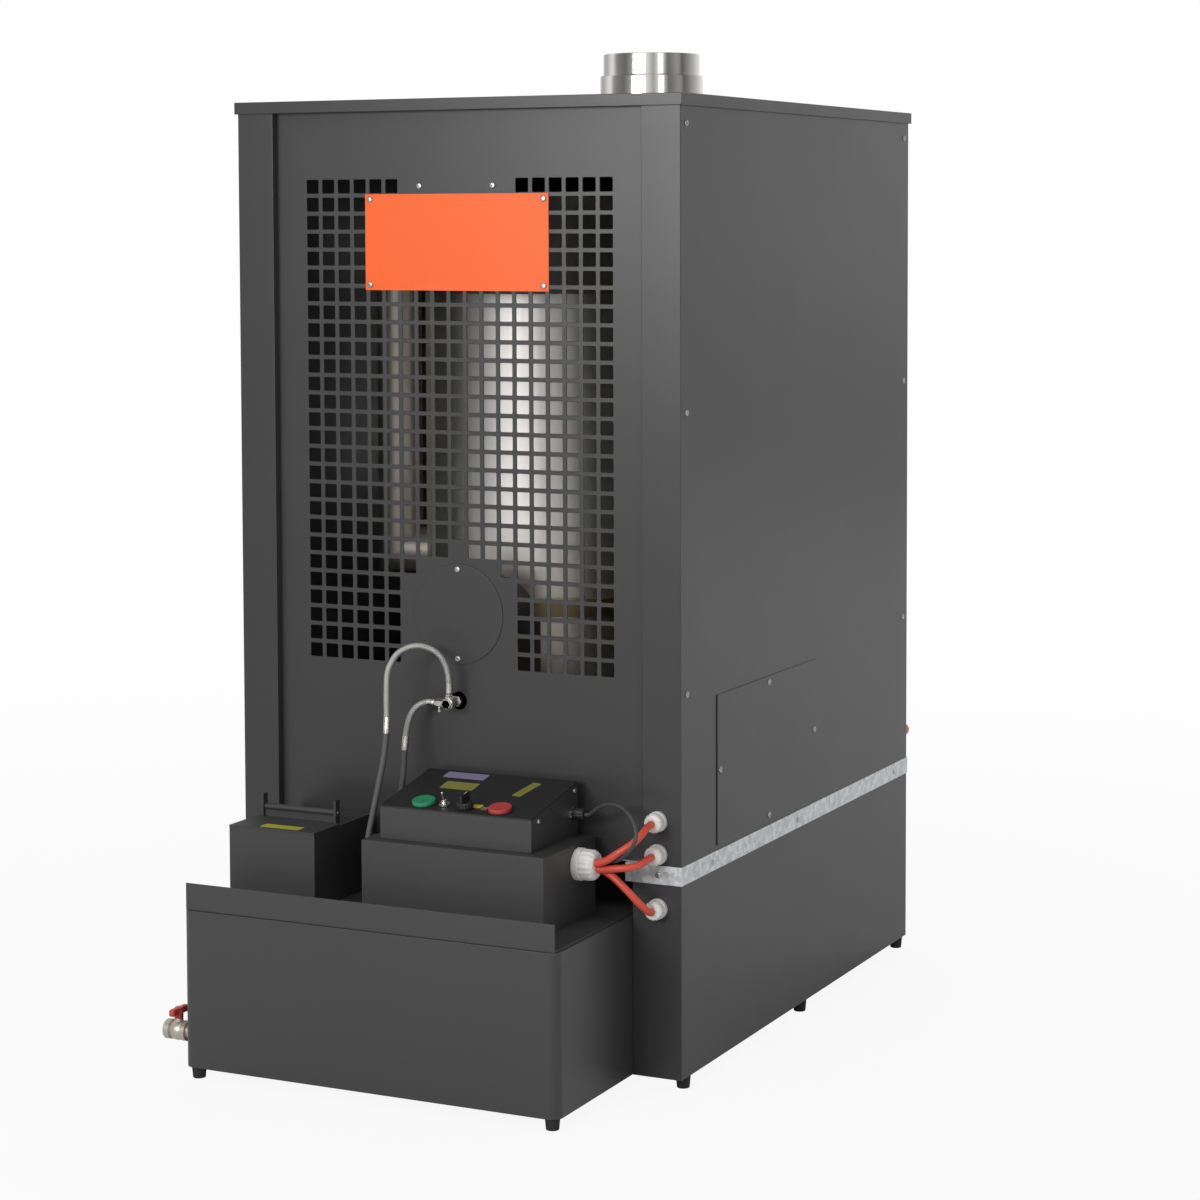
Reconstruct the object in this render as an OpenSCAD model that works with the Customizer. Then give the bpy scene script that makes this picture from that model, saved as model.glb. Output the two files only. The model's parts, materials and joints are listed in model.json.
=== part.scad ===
// Free-standing multi-fuel space heater, in millimetres.
// +Z is up and +Y runs from the tank to the rear. The origin is on the floor,
// at the centre of the overall length and width.

/* [Cabinet] */
// Width of the cabinet
cab_w = 540; // [530:5:600]
// Depth of the cabinet from front posts to rear face
cab_d = 695; // [690:5:760]
// Height of the skirt casing below the deck
base_h = 208; // [204:1:240]
// Height of the deck edge that shows as a bright strip
deck_h = 20; // [16:1:28]
// Distance that the deck edge stands proud of the skirt
deck_out = 1; // [0.5:0.5:1]
// Length of the deck edge that shows on each front corner
deck_tab = 65; // [50:1:66]
// Height of the upper casing from deck to lid edge
case_h = 798; // [790:2:860]
// Height of the turned-down lid edge
lid_h = 13; // [8:1:20]
// Overhang of the lid past the panels
lid_out = 3; // [3:0.5:6]
// Sheet thickness of casings and covers
sheet = 1.5; // [1:0.1:2]
// Width of the folded front posts
post_w = 45; // [35:1:50]
// Depth of the front panel behind the post faces
recess = 10; // [8:1:14]
// Width of the folds that hold the front and rear panels
fold_w = 15; // [12:1:18]
// Width of the bottom flange inside the skirt
flange_w = 20; // [18:1:24]
// Height of the rubber feet
foot_h = 13; // [10:1:20]
// Radius of the rubber feet
foot_r = 8; // [6:0.5:10]

/* [Front grille] */
// Side of each square hole
hole_w = 15; // [12:0.5:16]
// Distance between hole columns
hole_pitch_x = 20; // [18:0.5:21]
// Distance between hole rows
hole_pitch_z = 19.8; // [18:0.2:20]
// Number of hole columns
hole_columns = 19; // [15:2:19]
// Number of hole rows
hole_rows = 27; // [24:1:27]
// Distance from the casing top to the first row of holes
grille_drop = 92.5; // [80:0.5:100]
// Radius of the plain area round the port cover
plain_r = 70; // [65:1:80]
// Width of the bare name plate
plate_w = 225; // [180:5:240]
// Height of the bare name plate
plate_h = 105; // [90:5:110]
// Distance from the casing top to the plate's upper edge
plate_drop = 101; // [98:1:110]
// Thickness of plates and hatch covers
cover_t = 1.2; // [0.8:0.1:1.2]

/* [Burner] */
// Radius of the combustion chamber
chamber_r = 150; // [145:1:155]
// Height of the combustion chamber
chamber_h = 348; // [342:1:372]
// Distance from the front posts to the chamber's axis
chamber_back = 249; // [244:1:254]
// Wall of chamber, tubes and ducts
hot_wall = 2; // [1.5:0.1:2.5]
// Distance of the burner housing's wall inside the chamber's wall
housing_in = 10; // [8:1:14]
// Height of the burner housing
housing_h = 250; // [246:1:256]
// Distance that the chamber's bottom flange stands out
band_out = 8; // [6:1:10]
// Thickness of the chamber's bottom flange
band_t = 20; // [16:1:24]
// Radius of the burner bowl
bowl_r = 85; // [80:1:90]
// Height of the burner bowl
bowl_h = 40; // [36:1:44]
// Height of the stand under the bowl
bowl_stand = 21; // [18:1:24]
// Height of the perforated flame ring
ring_h = 128; // [120:1:132]
// Height of the port cover's middle above the deck
port_up = 252; // [248:1:256]
// Radius of the port cover
port_cover_r = 55; // [52:1:58]
// Radius of the sight port behind the cover
port_hole_r = 30; // [26:1:32]
// Distance of the sight port below the cover's middle
port_drop = 13; // [10:1:14]
// Outer radius of the arched top of the duct round the sight port
port_duct_r = 46; // [42:1:50]
// Depth of the duct below the sight port
port_duct_low = 100; // [96:1:110]
// Height of the smoke drum on the chamber
drum_h = 107; // [100:1:115]
// Radius of the neck between chamber and drum
neck_r = 60; // [55:1:62]
// Radius of the smoke tubes
tube_r = 26; // [22:1:28]
// Gap between the smoke tubes and the chamber's wall
tube_gap = 10; // [8:1:14]
// Angle of the smoke tubes from the cabinet's width
tube_angle = 15; // [12:1:20]
// Gap that the weld fills at each mitred corner of the smoke tubes
tube_weld = 0.1; // [0.05:0.01:0.3]
// Height of the lower tube ends above the chamber's bottom
tube_low = 45; // [40:1:60]

/* [Flue] */
// Outer radius of the flue stub
flue_r = 59; // [55:1:62]
// Outer radius of the collar on the stub
collar_r = 63; // [63:0.5:66]
// Height of the collar above the lid
collar_h = 45; // [35:1:50]
// Height of the stub above the lid
flue_h = 71; // [66:1:100]
// Distance from the front posts to the flue's axis
flue_back = 515; // [505:1:525]
// Radius of the sealing plate on the lid
flue_plate_r = 75; // [72:1:80]

/* [Fuel tank] */
// Width of the tank
tank_w = 450; // [430:5:450]
// Distance of the tank's centre from the cabinet's, to the right
tank_x = -12; // [-12:1:0]
// Distance that the tank stands out in front
tank_out = 178; // [170:1:190]
// Depth of the tank
tank_d = 560; // [500:10:600]
// Height of the tank
tank_h = 171; // [160:1:172]
// Radius of the tank's upright corners
tank_corner = 12; // [8:1:16]
// Clearance between the tank and the skirt's front legs
tank_gap = 0.3; // [0.2:0.1:0.6]
// Depth of the folds that guide the tank
guide_d = 40; // [30:1:50]
// Distance of the tray's sides inside the tank's sides
tray_in = 4; // [2:0.5:6]
// Distance of the tray's front behind the tank's front
tray_back = 2; // [1:0.5:4]
// Depth of the tray behind the post faces
tray_reach = 60; // [40:5:80]
// Height of the tray's front lip
lip_h = 29; // [24:1:32]
// Radius of the suction pipe
suction_r = 5; // [4:0.5:6]
// Height of the suction pipe's foot above the tank floor
suction_up = 8; // [6:1:12]

/* [Filler] */
// Left edge of the filler box
filler_x = -210; // [-212:1:-204]
// Width of the filler box
filler_w = 107; // [100:1:112]
// Height of both boxes above the tray
box_h = 81.5; // [80:0.5:88]
// Distance of both box fronts before the post faces
box_front = 125; // [122:1:130]
// Gap between both box backs and the post faces
box_back = 3; // [2:1:5]
// Distance of the hinge axis before the post faces
hinge_front = 66; // [62:1:70]
// Height of the hinge axis above the filler box
hinge_up = 12; // [10:0.5:14]
// Height of the hinge ears
ear_h = 26; // [22:1:30]
// Width of each hinge ear
ear_w = 3; // [2.5:0.5:6]
// Depth of each hinge ear
ear_d = 9; // [9:0.5:12]
// Distance of each hinge ear inside the box side
ear_in = 6; // [4:0.5:8]
// Radius of the hinge pin
pin_r = 2; // [1.5:0.1:2.2]
// Radius of the rolled hinge knuckle
knuckle_r = 3.5; // [3.5:0.1:4]
// Radius of the strainer tube
strainer_r = 20; // [16:1:20]
// Depth of the strainer below the filler funnel
strainer_h = 90; // [70:5:110]
// Height of the funnel plate above the tray
funnel_up = 54; // [50:1:58]

/* [Drain valve] */
// Distance that the drain valve stands out from the tank's side
valve_out = 36; // [32:1:36]
// Height of the drain valve above the floor
drain_z = 45; // [40:1:60]
// Distance of the drain valve behind the tank's front
drain_back = 23; // [20:1:40]
// Radius of the valve body
valve_r = 11; // [10:0.5:12]
// Radius of the valve's pipe
valve_pipe_r = 8; // [6:0.5:8]
// Radius of the valve's outlet bore
outlet_r = 6.5; // [5:0.5:7]
// Depth of the valve's outlet bore
outlet_d = 12; // [8:1:13]
// Length of the drain lever
lever_l = 30; // [26:1:30]
// Width of the drain lever
lever_w = 10; // [8:1:12]
// Height of the drain lever
lever_t = 12; // [8:1:14]

/* [Pump] */
// Left edge of the pump box
pump_x = -45; // [-48:1:-42]
// Width of the pump box
pump_w = 216; // [210:1:216]
// Distance of the pump's axis before the post faces
pump_front = 62; // [60:1:66]
// Teeth on each pump gear
gear_teeth = 12; // [12:1:12]
// Distance between the pump shafts
gear_centres = 24; // [24:0.5:26]
// Width of each pump gear
gear_w = 11.7; // [10:0.1:11.7]
// Radius of the pump shafts
shaft_r = 4; // [3:0.5:4]
// Length of the pump body
pump_l = 50; // [50:1:54]
// Radius of the pump motor
motor_r = 30; // [26:1:30]
// Length of the pump motor
motor_l = 90; // [80:1:95]
// Running clearance of shafts and pins in their bores
run_gap = 0.05; // [0.03:0.01:0.08]

/* [Pump details] */
// Distance of the pump body from the pump box's left side
pump_body_in = 25; // [24:1:26]
// Depth of the pump body
pump_body_w = 60; // [56:1:62]
// Height of the pump body
pump_body_h = 60; // [60:1:62]
// Height of the driving shaft above the tray
drive_up = 42; // [42:1:43]
// Distance between the pump body and its motor
motor_gap = 30; // [28:1:30]
// Distance of the delivery elbow before the post faces
delivery_front = 40; // [38:1:42]
// Height of the delivery pipe above the tray
delivery_up = 13; // [12:0.5:15]
// Distance of the delivery elbow from the pump box's left side
elbow_out = 11; // [10:1:13]
// Height of the delivery elbow's mouth above its pipe
elbow_h = 7.5; // [7:0.5:10]

/* [Fuel fitting] */
// Height of the fuel fitting above the deck
fitting_up = 157; // [154:1:160]
// Distance of the fuel fitting before the post faces
fitting_front = 12; // [12:1:16]
// Radius of the fitting's body
fitting_r = 6.5; // [6:0.5:7.5]
// Radius of its branches
branch_r = 5; // [4:0.5:5.5]
// Length of its left branch
branch_left = 17; // [15:1:18]
// Radius of the hole for the feed pipe in the front panel
fitting_hole_r = 10; // [9:0.5:12]
// Radius of the feed pipe
feed_r = 4; // [3:0.5:4.5]
// Distance of the tray nipple left of the pump box
nipple_left = 13; // [12:1:16]
// Distance of the tray nipple before the post faces
nipple_front = 92; // [88:1:96]
// Height of the tray nipple
nipple_h = 10.5; // [9:0.5:14]

/* [Control box] */
// Left edge of the control box
desk_x = -30; // [-32:1:-28]
// Width of the control box
desk_w = 180; // [177:1:183]
// Depth of the control box
desk_d = 109; // [107:1:111]
// Gap between the control box and the post faces
desk_back = 2; // [2:1:3]
// Height of the control box at the front
desk_front_h = 35.5; // [33:0.5:39]
// Height of the control box at the rear
desk_rear_h = 56.5; // [54:0.5:62]
// Distance of the push buttons from the panel's middle
button_x = 45.5; // [42:0.5:50]
// Distance of the push buttons up the slope
button_v = 16.5; // [16.5:0.5:24]
// Radius of the push buttons
button_r = 13; // [11:0.5:13.5]
// Wall of the rings round the push buttons
bezel_wall = 2; // [2:0.5:3]
// Height of the rings round the push buttons
bezel_h = 1; // [1:0.5:3]
// Height of the buttons above their rings
button_up = 3.5; // [3.5:0.5:5]
// Travel of the push buttons
button_travel = 3; // [2:0.5:3]
// Radius of the selector knob
knob_r = 9; // [8:0.5:10]
// Height of the selector knob
knob_h = 16; // [12:1:18]
// Radius of the toggle lever
toggle_r = 1.4; // [1:0.1:1.5]
// Length of the toggle lever
toggle_l = 12; // [9:1:14]
// Tilt of the toggle lever either way
toggle_tilt = 12; // [10:1:12]

/* [Glands and cables] */
// Radius of the large gland
big_gland_r = 16.5; // [15:0.5:17.5]
// Length of the large gland
big_gland_l = 24; // [20:1:28]
// Distance of the large gland before the post faces
big_gland_front = 46; // [42:1:52]
// Height of the large gland above the tray
big_gland_up = 60; // [56:0.5:62]
// Radius of the small glands
small_gland_r = 10.5; // [9:0.5:11]
// Length of the small glands
small_gland_l = 16; // [14:1:20]
// Distance of the small glands from the cabinet's side
small_gland_in = 27; // [24:1:30]
// Height of the upper small gland above the deck
upper_gland_up = 47; // [44:1:52]
// Height of the middle small gland above the deck
middle_gland_up = 12; // [12:1:18]
// Distance of the lower small gland below the deck edge
lower_gland_down = 26; // [22:1:30]
// Radius of the silicone cables
cable_r = 4; // [3:0.5:4]
// Radius of the thin sensor wire
wire_r = 2; // [1.5:0.25:2.25]
// Radius of the fuel hoses
hose_r = 3.9; // [3.5:0.1:4]

/* [Air] */
// Radius of the fan blades at the tips
fan_r = 198; // [190:1:200]
// Clearance between blade tips and wall ring
fan_gap = 6; // [5:0.5:8]
// Number of fan blades
fan_blade_count = 5; // [4:1:6]
// Width of each fan blade
fan_chord = 88; // [70:2:90]
// Pitch angle of the fan blades
fan_pitch = 35; // [25:1:38]
// Height of the fan's axis above the deck
fan_up = 504; // [500:1:520]
// Radius of the fan guard
guard_r = 246; // [244:1:250]
// Distance that the fan guard stands out behind
guard_d = 71; // [66:1:80]
// Width of the guard's bars
bar_w = 3; // [2.5:0.5:4]
// Number of rings in the guard's back
guard_rings = 7; // [5:1:9]
// Number of spokes in the guard's back
guard_spokes = 8; // [6:1:8]
// Radius of the fan motor
fan_motor_r = 50; // [44:1:54]
// Length of the fan motor
fan_motor_l = 42; // [38:1:44]
// Radius of the fan shaft
fan_shaft_r = 5; // [4:0.5:6]
// Radius of the blower casing
blower_r = 60; // [56:1:60]
// Height of the blower casing
blower_h = 45; // [40:1:48]
// Height of the blower casing above the deck
blower_up = 59; // [55:1:62]
// Distance of the blower's axis before the chamber's axis
blower_front = 115; // [115:1:120]
// Distance of the blower's axis from the centre line
blower_x = 167; // [167:1:172]
// Radius of the blower motor
blower_motor_r = 35; // [30:1:38]
// Length of the blower motor
blower_motor_l = 60; // [50:1:62]

/* [Side hatch] */
// Depth of the side hatch along the cabinet
hatch_w = 289; // [270:1:300]
// Height of the side hatch
hatch_h = 164; // [150:1:180]
// Distance of the side hatch behind the front posts
hatch_back = 93; // [85:1:100]
// Height of the side hatch above the deck
hatch_up = 5; // [3:1:10]
// Distance that the hatch laps past its hole
hatch_lap = 14; // [12:1:16]

/* [Fasteners] */
// Radius of the panel screw heads
screw_r = 3.5; // [3:0.1:3.6]
// Height of the panel screw heads
screw_h = 1.8; // [1.2:0.1:1.8]
// Height of the lower side screws above the deck
side_screw_low = 181; // [175:1:187]
// Height of the middle side screws above the deck
side_screw_mid = 478; // [470:1:486]
// Distance of the upper side screws below the top
side_screw_drop = 30; // [25:1:35]

/* [Hidden] */
$fn = 48;

// Levels above the floor
base_top = foot_h + base_h;
deck_top = base_top + deck_h;
lid_edge = deck_top + case_h;
top_z = lid_edge + lid_h;
case_top = top_z - sheet;
tank_top = foot_h + tank_h;
tray_top = tank_top + sheet;
box_top = tray_top + box_h;

// Places along the length, from the post faces to the guard
cab_y0 = tank_out - (tank_out + cab_d + guard_d) / 2;
cab_y1 = cab_y0 + cab_d;
guard_y = cab_y1 + guard_d;
panel_y0 = cab_y0 + recess;
panel_y1 = panel_y0 + sheet;
rear_y1 = cab_y1 - sheet;
rear_y0 = rear_y1 - sheet;
tank_y0 = cab_y0 - tank_out;
tank_y1 = tank_y0 + tank_d;
box_y0 = cab_y0 - box_front;
box_y1 = cab_y0 - box_back;
half_w = cab_w / 2;

// Tank, tray and filler
tank_x0 = tank_x - tank_w / 2;
tank_x1 = tank_x + tank_w / 2;
tray_x0 = tank_x0 + tray_in;
tray_x1 = tank_x1 - tray_in;
tray_y0 = tank_y0 + tray_back;
tray_y1 = cab_y0 + tray_reach;
hinge_y = cab_y0 - hinge_front;
hinge_z = box_top + hinge_up;
ear_y0 = hinge_y - ear_d / 2;
filler_x1 = filler_x + filler_w;
filler_mid_x = filler_x + filler_w / 2;
filler_mid_y = (box_y0 + ear_y0) / 2;
funnel_z = tray_top + funnel_up;
strainer_gap = 0.4;
strainer_rim = 5;
strainer_wall = 1;
slit_w = 2;
slit_count = 8;

// Drain valve
drain_y = tank_y0 + drain_back;
valve_tip_x = tank_x0 - valve_out;
valve_l = 28;
lever_x = valve_tip_x + 15;
stem_r = 3;

// Fuel pump
pump_x1 = pump_x + pump_w;
pump_y = cab_y0 - pump_front;
pump_body_x = pump_x + pump_body_in;
pump_body_x1 = pump_body_x + pump_l;
drive_z = tray_top + drive_up;
driven_z = drive_z - gear_centres;
gear_x = pump_body_x + 25;
gear_gap = 0.3;
motor_x = pump_body_x1 + motor_gap;
shaft_in = 12;
suction_x = pump_body_x + pump_l / 2;
delivery_y = cab_y0 - delivery_front;
delivery_z = tray_top + delivery_up;
elbow_x = pump_x - elbow_out;
nipple_x = pump_x - nipple_left;
pipe_r = 4;

// Control box and its sloping panel
desk_z = box_top;
desk_x1 = desk_x + desk_w;
desk_mid = desk_x + desk_w / 2;
desk_y1 = cab_y0 - desk_back;
desk_y0 = desk_y1 - desk_d;
slope = atan2(desk_rear_h - desk_front_h, desk_d);
slope_l = norm([desk_d, desk_rear_h - desk_front_h]);
sensor_l = 18;
sensor_r = 7;
sensor_front = 22;
sensor_z = desk_z + 26;
toggle_x = -20;
toggle_v = 15;
knob_x = 6;
knob_v = 13;
button_gap = 0.3;
bush_wall = 1.5;
bush_depth = 10;
board_in = 25;
board_back = 12;

// Burner, drum and flue
chamber_y = cab_y0 + chamber_back;
chamber_z = deck_top + housing_h;
chamber_top = chamber_z + chamber_h;
drum_top = chamber_top + drum_h;
flue_y = cab_y0 + flue_back;
band_r = chamber_r + band_out;
band_z = chamber_z - band_t / 2;
housing_r = chamber_r - housing_in;
port_z = deck_top + port_up;
sight_z = port_z - port_drop;
bowl_z = deck_top + bowl_stand;
ring_z = bowl_z + bowl_h;
ring_r = bowl_r - 1;
tube_off = chamber_r + tube_gap + tube_r;
tube_ends = [[1, -1], [-1, -1], [1, 1], [-1, 1]];
tube_z0 = chamber_z + tube_low;
tube_z1 = chamber_top + drum_h / 2;
grille_z = case_top - grille_drop;
fitting_z = deck_top + fitting_up;

// Fan and blower
fan_z = deck_top + fan_up;
ring_hole_r = fan_r + fan_gap;
ring_t = 2;
ring_depth = 45;
guard_plate_r = 56;
fan_motor_y = guard_y - bar_w - fan_motor_l;
hub_r = fan_motor_r - 4;
hub_y0 = cab_y1 - 38;
hub_y1 = cab_y1 + 12;
blade_y = cab_y1 - 15;
blade_t = 2.5;
blower_y = chamber_y - blower_front;
blower_z = deck_top + blower_up;
blower_top = blower_z + blower_h;
eye_r = 28;
wheel_r = 48;
wheel_blades = 16;
duct_w = 24;
duct_x = blower_x - blower_r + 4;

// Glands and the places where the cables enter them
big_gland_z = tray_top + big_gland_up;
small_gland_x = half_w - small_gland_in;
upper_gland_z = deck_top + upper_gland_up;
middle_gland_z = deck_top + middle_gland_up;
lower_gland_z = base_top - lower_gland_down;
plug_x = pump_x1 + big_gland_l;
plug_y = -big_gland_front;
end_y = -small_gland_l;

// Reset button on the rear fold
reset_x = half_w - 13;
reset_z = deck_top + 31;
reset_r = 8;

// Mains gland on the rear panel
mains_x = 180;
mains_z = deck_top + 40;
mains_r = 5;

// Points of each cord as [x, y from the post faces, z], placed by hand
hose_long_points = [
    [0, -fitting_front, fitting_z + 10], [0, -fitting_front, fitting_z + 22], [-1.5, -14, 437], [-10, -20, 454],
    [-28.5, -28, 461.5], [-47, -36, 455], [-57, -43, 437], [-57.5, -47, 411], [-56, -50, 379], [-55, -58, 345],
    [-55, -70, 316], [-55, -82, 288], [-57, -90, 260],
    [nipple_x, -nipple_front, tray_top + nipple_h + 34], [nipple_x, -nipple_front, tray_top + nipple_h]];
hose_short_points = [
    [-branch_left, -fitting_front, fitting_z], [-branch_left - 10, -fitting_front, fitting_z],
    [-38, -14, 393], [-46, -15, 383], [-50.5, -16, 367], [-52, -18, 349], [-51, -24, 319], [-54, -28, 282],
    [-56, -36, 246], [elbow_x, -delivery_front, delivery_z + elbow_h + 12],
    [elbow_x, -delivery_front, delivery_z + elbow_h]];
cable_upper_points = [
    [plug_x, plug_y - 7, big_gland_z + 4.5], [plug_x + 4, plug_y - 7, big_gland_z + 4.5], [208.5, -53.5, 254],
    [217.5, -53.5, 260], [228, -51, 267], [236, -45, 273.5], [240.5, -37, 280],
    [small_gland_x - 0.5, end_y - 12, upper_gland_z - 2.5], [small_gland_x, end_y - 3, upper_gland_z],
    [small_gland_x, end_y, upper_gland_z]];
cable_middle_points = [
    [plug_x, plug_y - 2.5, big_gland_z - 3], [plug_x + 6, plug_y - 2.5, big_gland_z - 3], [216, -49, 245],
    [228, -47.5, 246.5], [236.5, -42, 248], [241.5, -33, 250.5], [small_gland_x, end_y - 5, middle_gland_z],
    [small_gland_x, end_y, middle_gland_z]];
cable_lower_points = [
    [plug_x, plug_y + 5.5, big_gland_z - 6], [plug_x + 4, plug_y + 5.5, big_gland_z - 6], [209, -42, 235.5],
    [219, -43, 228.5], [229.5, -42, 219], [237, -37, 209], [241.5, -30, 201],
    [small_gland_x, end_y - 4, lower_gland_z], [small_gland_x, end_y, lower_gland_z]];
wire_points = [
    [desk_x1 + sensor_l, -sensor_front, sensor_z], [desk_x1 + sensor_l + 4, -sensor_front, sensor_z],
    [183, -24.5, 300.5], [195, -29.5, 306.5], [209, -35.5, 309.5], [222, -42, 307.5], [233.5, -48.5, 301.5],
    [241, -54, 293], [244.5, -57.5, 283], [241.5, -58.5, 273], [232, -57, 262.5], [221.5, -50.5, 255],
    [209.5, -43.5, 250.5], [plug_x + 4, plug_y + 6, big_gland_z + 3.5], [plug_x, plug_y + 6, big_gland_z + 3.5]];

// Block between two limits on each axis
module block(x, y, z) {
    translate([x[0], y[0], z[0]]) cube([x[1] - x[0], y[1] - y[0], z[1] - z[0]]);
}

// Round bar along one axis, between two limits
module rod_x(x, y, z, r) {
    translate([x[0], y, z]) rotate([0, 90, 0]) cylinder(r = r, h = x[1] - x[0]);
}

module rod_y(x, y, z, r) {
    translate([x, y[0], z]) rotate([-90, 0, 0]) cylinder(r = r, h = y[1] - y[0]);
}

module rod_z(x, y, z, r) {
    translate([x, y, z[0]]) cylinder(r = r, h = z[1] - z[0]);
}

// Block with round upright corners
module slab(x, y, z, r) {
    block([x[0] + r, x[1] - r], y, z);
    block(x, [y[0] + r, y[1] - r], z);
    for (cx = [x[0] + r, x[1] - r], cy = [y[0] + r, y[1] - r]) rod_z(cx, cy, z, r);
}

// Round tube through hand-placed points; up is never along the tube
function unit(v) = v / norm(v);
function heading(p, i) = unit(p[min(i + 1, len(p) - 1)] - p[max(i - 1, 0)]);
function ring_at(p, i, r, sides, up) =
    let (t = heading(p, i), s = unit(cross(t, up)), b = cross(s, t))
    [for (k = [0 : sides - 1]) p[i] + r * (cos(360 * k / sides) * s + sin(360 * k / sides) * b)];

module cord(route, r, sides, up) {
    p = [for (q = route) q + [0, cab_y0, 0]];
    n = len(p);
    points = [for (i = [0 : n - 1]) each ring_at(p, i, r, sides, up)];
    walls = [for (i = [0 : n - 2], k = [0 : sides - 1])
        let (a = i * sides + k, b = i * sides + (k + 1) % sides)
        each [[a, b, a + sides], [b, b + sides, a + sides]]];
    first = [[for (k = [sides - 1 : -1 : 0]) k]];
    last = [[for (k = [0 : sides - 1]) (n - 1) * sides + k]];
    polyhedron(points, concat(walls, first, last));
}

// Skirt casing: sides, rear, front legs with guide folds, bottom flange
module base_casing() {
    z = [foot_h, base_top];
    leg_l = tank_x0 - tank_gap;
    leg_r = tank_x1 + tank_gap;
    color("dimgray") union() {
        for (s = [-1, 1]) {
            block(s < 0 ? [-half_w, sheet - half_w] : [half_w - sheet, half_w], [cab_y0, cab_y1], z);
            block(s < 0 ? [-half_w, flange_w - half_w] : [half_w - flange_w, half_w],
                [cab_y0, cab_y1], [foot_h, foot_h + sheet]);
        }
        block([-half_w, half_w], [cab_y1 - sheet, cab_y1], z);
        block([-half_w, half_w], [cab_y1 - flange_w, cab_y1], [foot_h, foot_h + sheet]);
        block([-half_w, leg_l], [cab_y0, cab_y0 + sheet], z);
        block([leg_r, half_w], [cab_y0, cab_y0 + sheet], z);
        block([leg_l - sheet, leg_l], [cab_y0, cab_y0 + guide_d], z);
        block([leg_r, leg_r + sheet], [cab_y0, cab_y0 + guide_d], z);
    }
}

// Galvanised deck: plate with a turned-down edge and two front tabs
module burner_deck() {
    out = half_w + deck_out;
    tab_x = half_w - deck_tab;
    top = [deck_top - sheet, deck_top];
    edge = [base_top, deck_top];
    color("silver") union() {
        block([-out, out], [panel_y0, cab_y1 + deck_out], top);
        block([-out, out], [cab_y1 + deck_out - sheet, cab_y1 + deck_out], edge);
        for (s = [-1, 1]) {
            block(s < 0 ? [-out, -tab_x] : [tab_x, out], [cab_y0 - deck_out, panel_y0 + 1], top);
            block(s < 0 ? [-out, -tab_x] : [tab_x, out],
                [cab_y0 - deck_out, cab_y0 - deck_out + sheet], edge);
            block(s < 0 ? [-out, sheet - out] : [out - sheet, out],
                [cab_y0 - deck_out, cab_y1 + deck_out], edge);
        }
    }
}

// One side of the upper casing with its front post and rear fold, drawn on the right
module side_shape() {
    z = [deck_top, case_top];
    post_x = half_w - post_w;
    union() {
        block([half_w - sheet, half_w], [cab_y0, cab_y1], z);
        block([post_x, half_w], [cab_y0, cab_y0 + sheet], z);
        block([post_x, post_x + sheet], [cab_y0, panel_y0], z);
        block([half_w - fold_w - sheet, half_w], [cab_y1 - sheet, cab_y1], z);
    }
}

module side_panel_left() {
    color("dimgray") mirror([1, 0, 0]) side_shape();
}

module side_panel_right() {
    y0 = cab_y0 + hatch_back + hatch_lap;
    z0 = deck_top + hatch_up + hatch_lap;
    color("dimgray") difference() {
        side_shape();
        block([half_w - 10, half_w + 1], [y0, y0 + hatch_w - 2 * hatch_lap],
            [z0, z0 + hatch_h - 2 * hatch_lap]);
    }
}

// Which holes are left out: under the top edge's middle and round the port cover
function plain(x, z, row) =
    abs(x) < plain_r
    && (row == 0 || z < port_z || norm([x, z - port_z]) < plain_r)
    && (row == 0 || z < port_z + plain_r);

module front_grille_panel() {
    w = half_w - post_w + fold_w;
    color("dimgray") translate([0, panel_y1, 0]) rotate([90, 0, 0])
    linear_extrude(sheet) difference() {
        translate([-w, deck_top]) square([2 * w, case_top - deck_top]);
        for (row = [0 : hole_rows - 1], column = [0 : hole_columns - 1])
            let (x = (column - (hole_columns - 1) / 2) * hole_pitch_x, z = grille_z - row * hole_pitch_z)
            if (!plain(x, z, row)) translate([x, z]) square(hole_w, center = true);
        translate([0, sight_z]) circle(port_hole_r);
        translate([0, fitting_z]) circle(fitting_hole_r);
    }
}

module rear_panel() {
    color("dimgray") difference() {
        block([sheet - half_w, half_w - sheet], [rear_y0, rear_y1], [deck_top, case_top]);
        rod_y(0, [rear_y0 - 1, rear_y1 + 1], fan_z, ring_hole_r + ring_t);
        rod_y(mains_x, [rear_y0 - 1, rear_y1 + 1], mains_z, mains_r + 2);
    }
}

module top_lid() {
    out = half_w + lid_out;
    color("dimgray") difference() {
        block([-out, out], [cab_y0 - lid_out, cab_y1 + lid_out], [lid_edge, top_z]);
        block([sheet - out, out - sheet], [cab_y0 - lid_out + sheet, cab_y1 + lid_out - sheet],
            [lid_edge - 1, case_top]);
        rod_z(0, flue_y, [lid_edge, top_z + 1], flue_r);
    }
}

module access_cover() {
    color("dimgray") block([half_w, half_w + cover_t],
        [cab_y0 + hatch_back, cab_y0 + hatch_back + hatch_w],
        [deck_top + hatch_up, deck_top + hatch_up + hatch_h]);
}

module port_cover() {
    color("dimgray") rod_y(0, [panel_y0 - cover_t, panel_y0], port_z, port_cover_r);
}

module label_plate() {
    z1 = case_top - plate_drop;
    color("coral") block([-plate_w / 2, plate_w / 2], [panel_y0 - cover_t, panel_y0], [z1 - plate_h, z1]);
}

module feet() {
    side_x = half_w - foot_r;
    color([0.1, 0.1, 0.1]) {
        for (x = [-side_x, side_x], y = [cab_y0 + 22, cab_y0 + cab_d / 2 + 6, cab_y1 - 15])
            rod_z(x, y, [0, foot_h], foot_r);
        for (x = [tank_x0 + tank_corner, tank_x1 - tank_corner], y = [tank_y0 + tank_corner, tank_y1 - tank_corner])
            rod_z(x, y, [0, foot_h], foot_r);
    }
}

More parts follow.
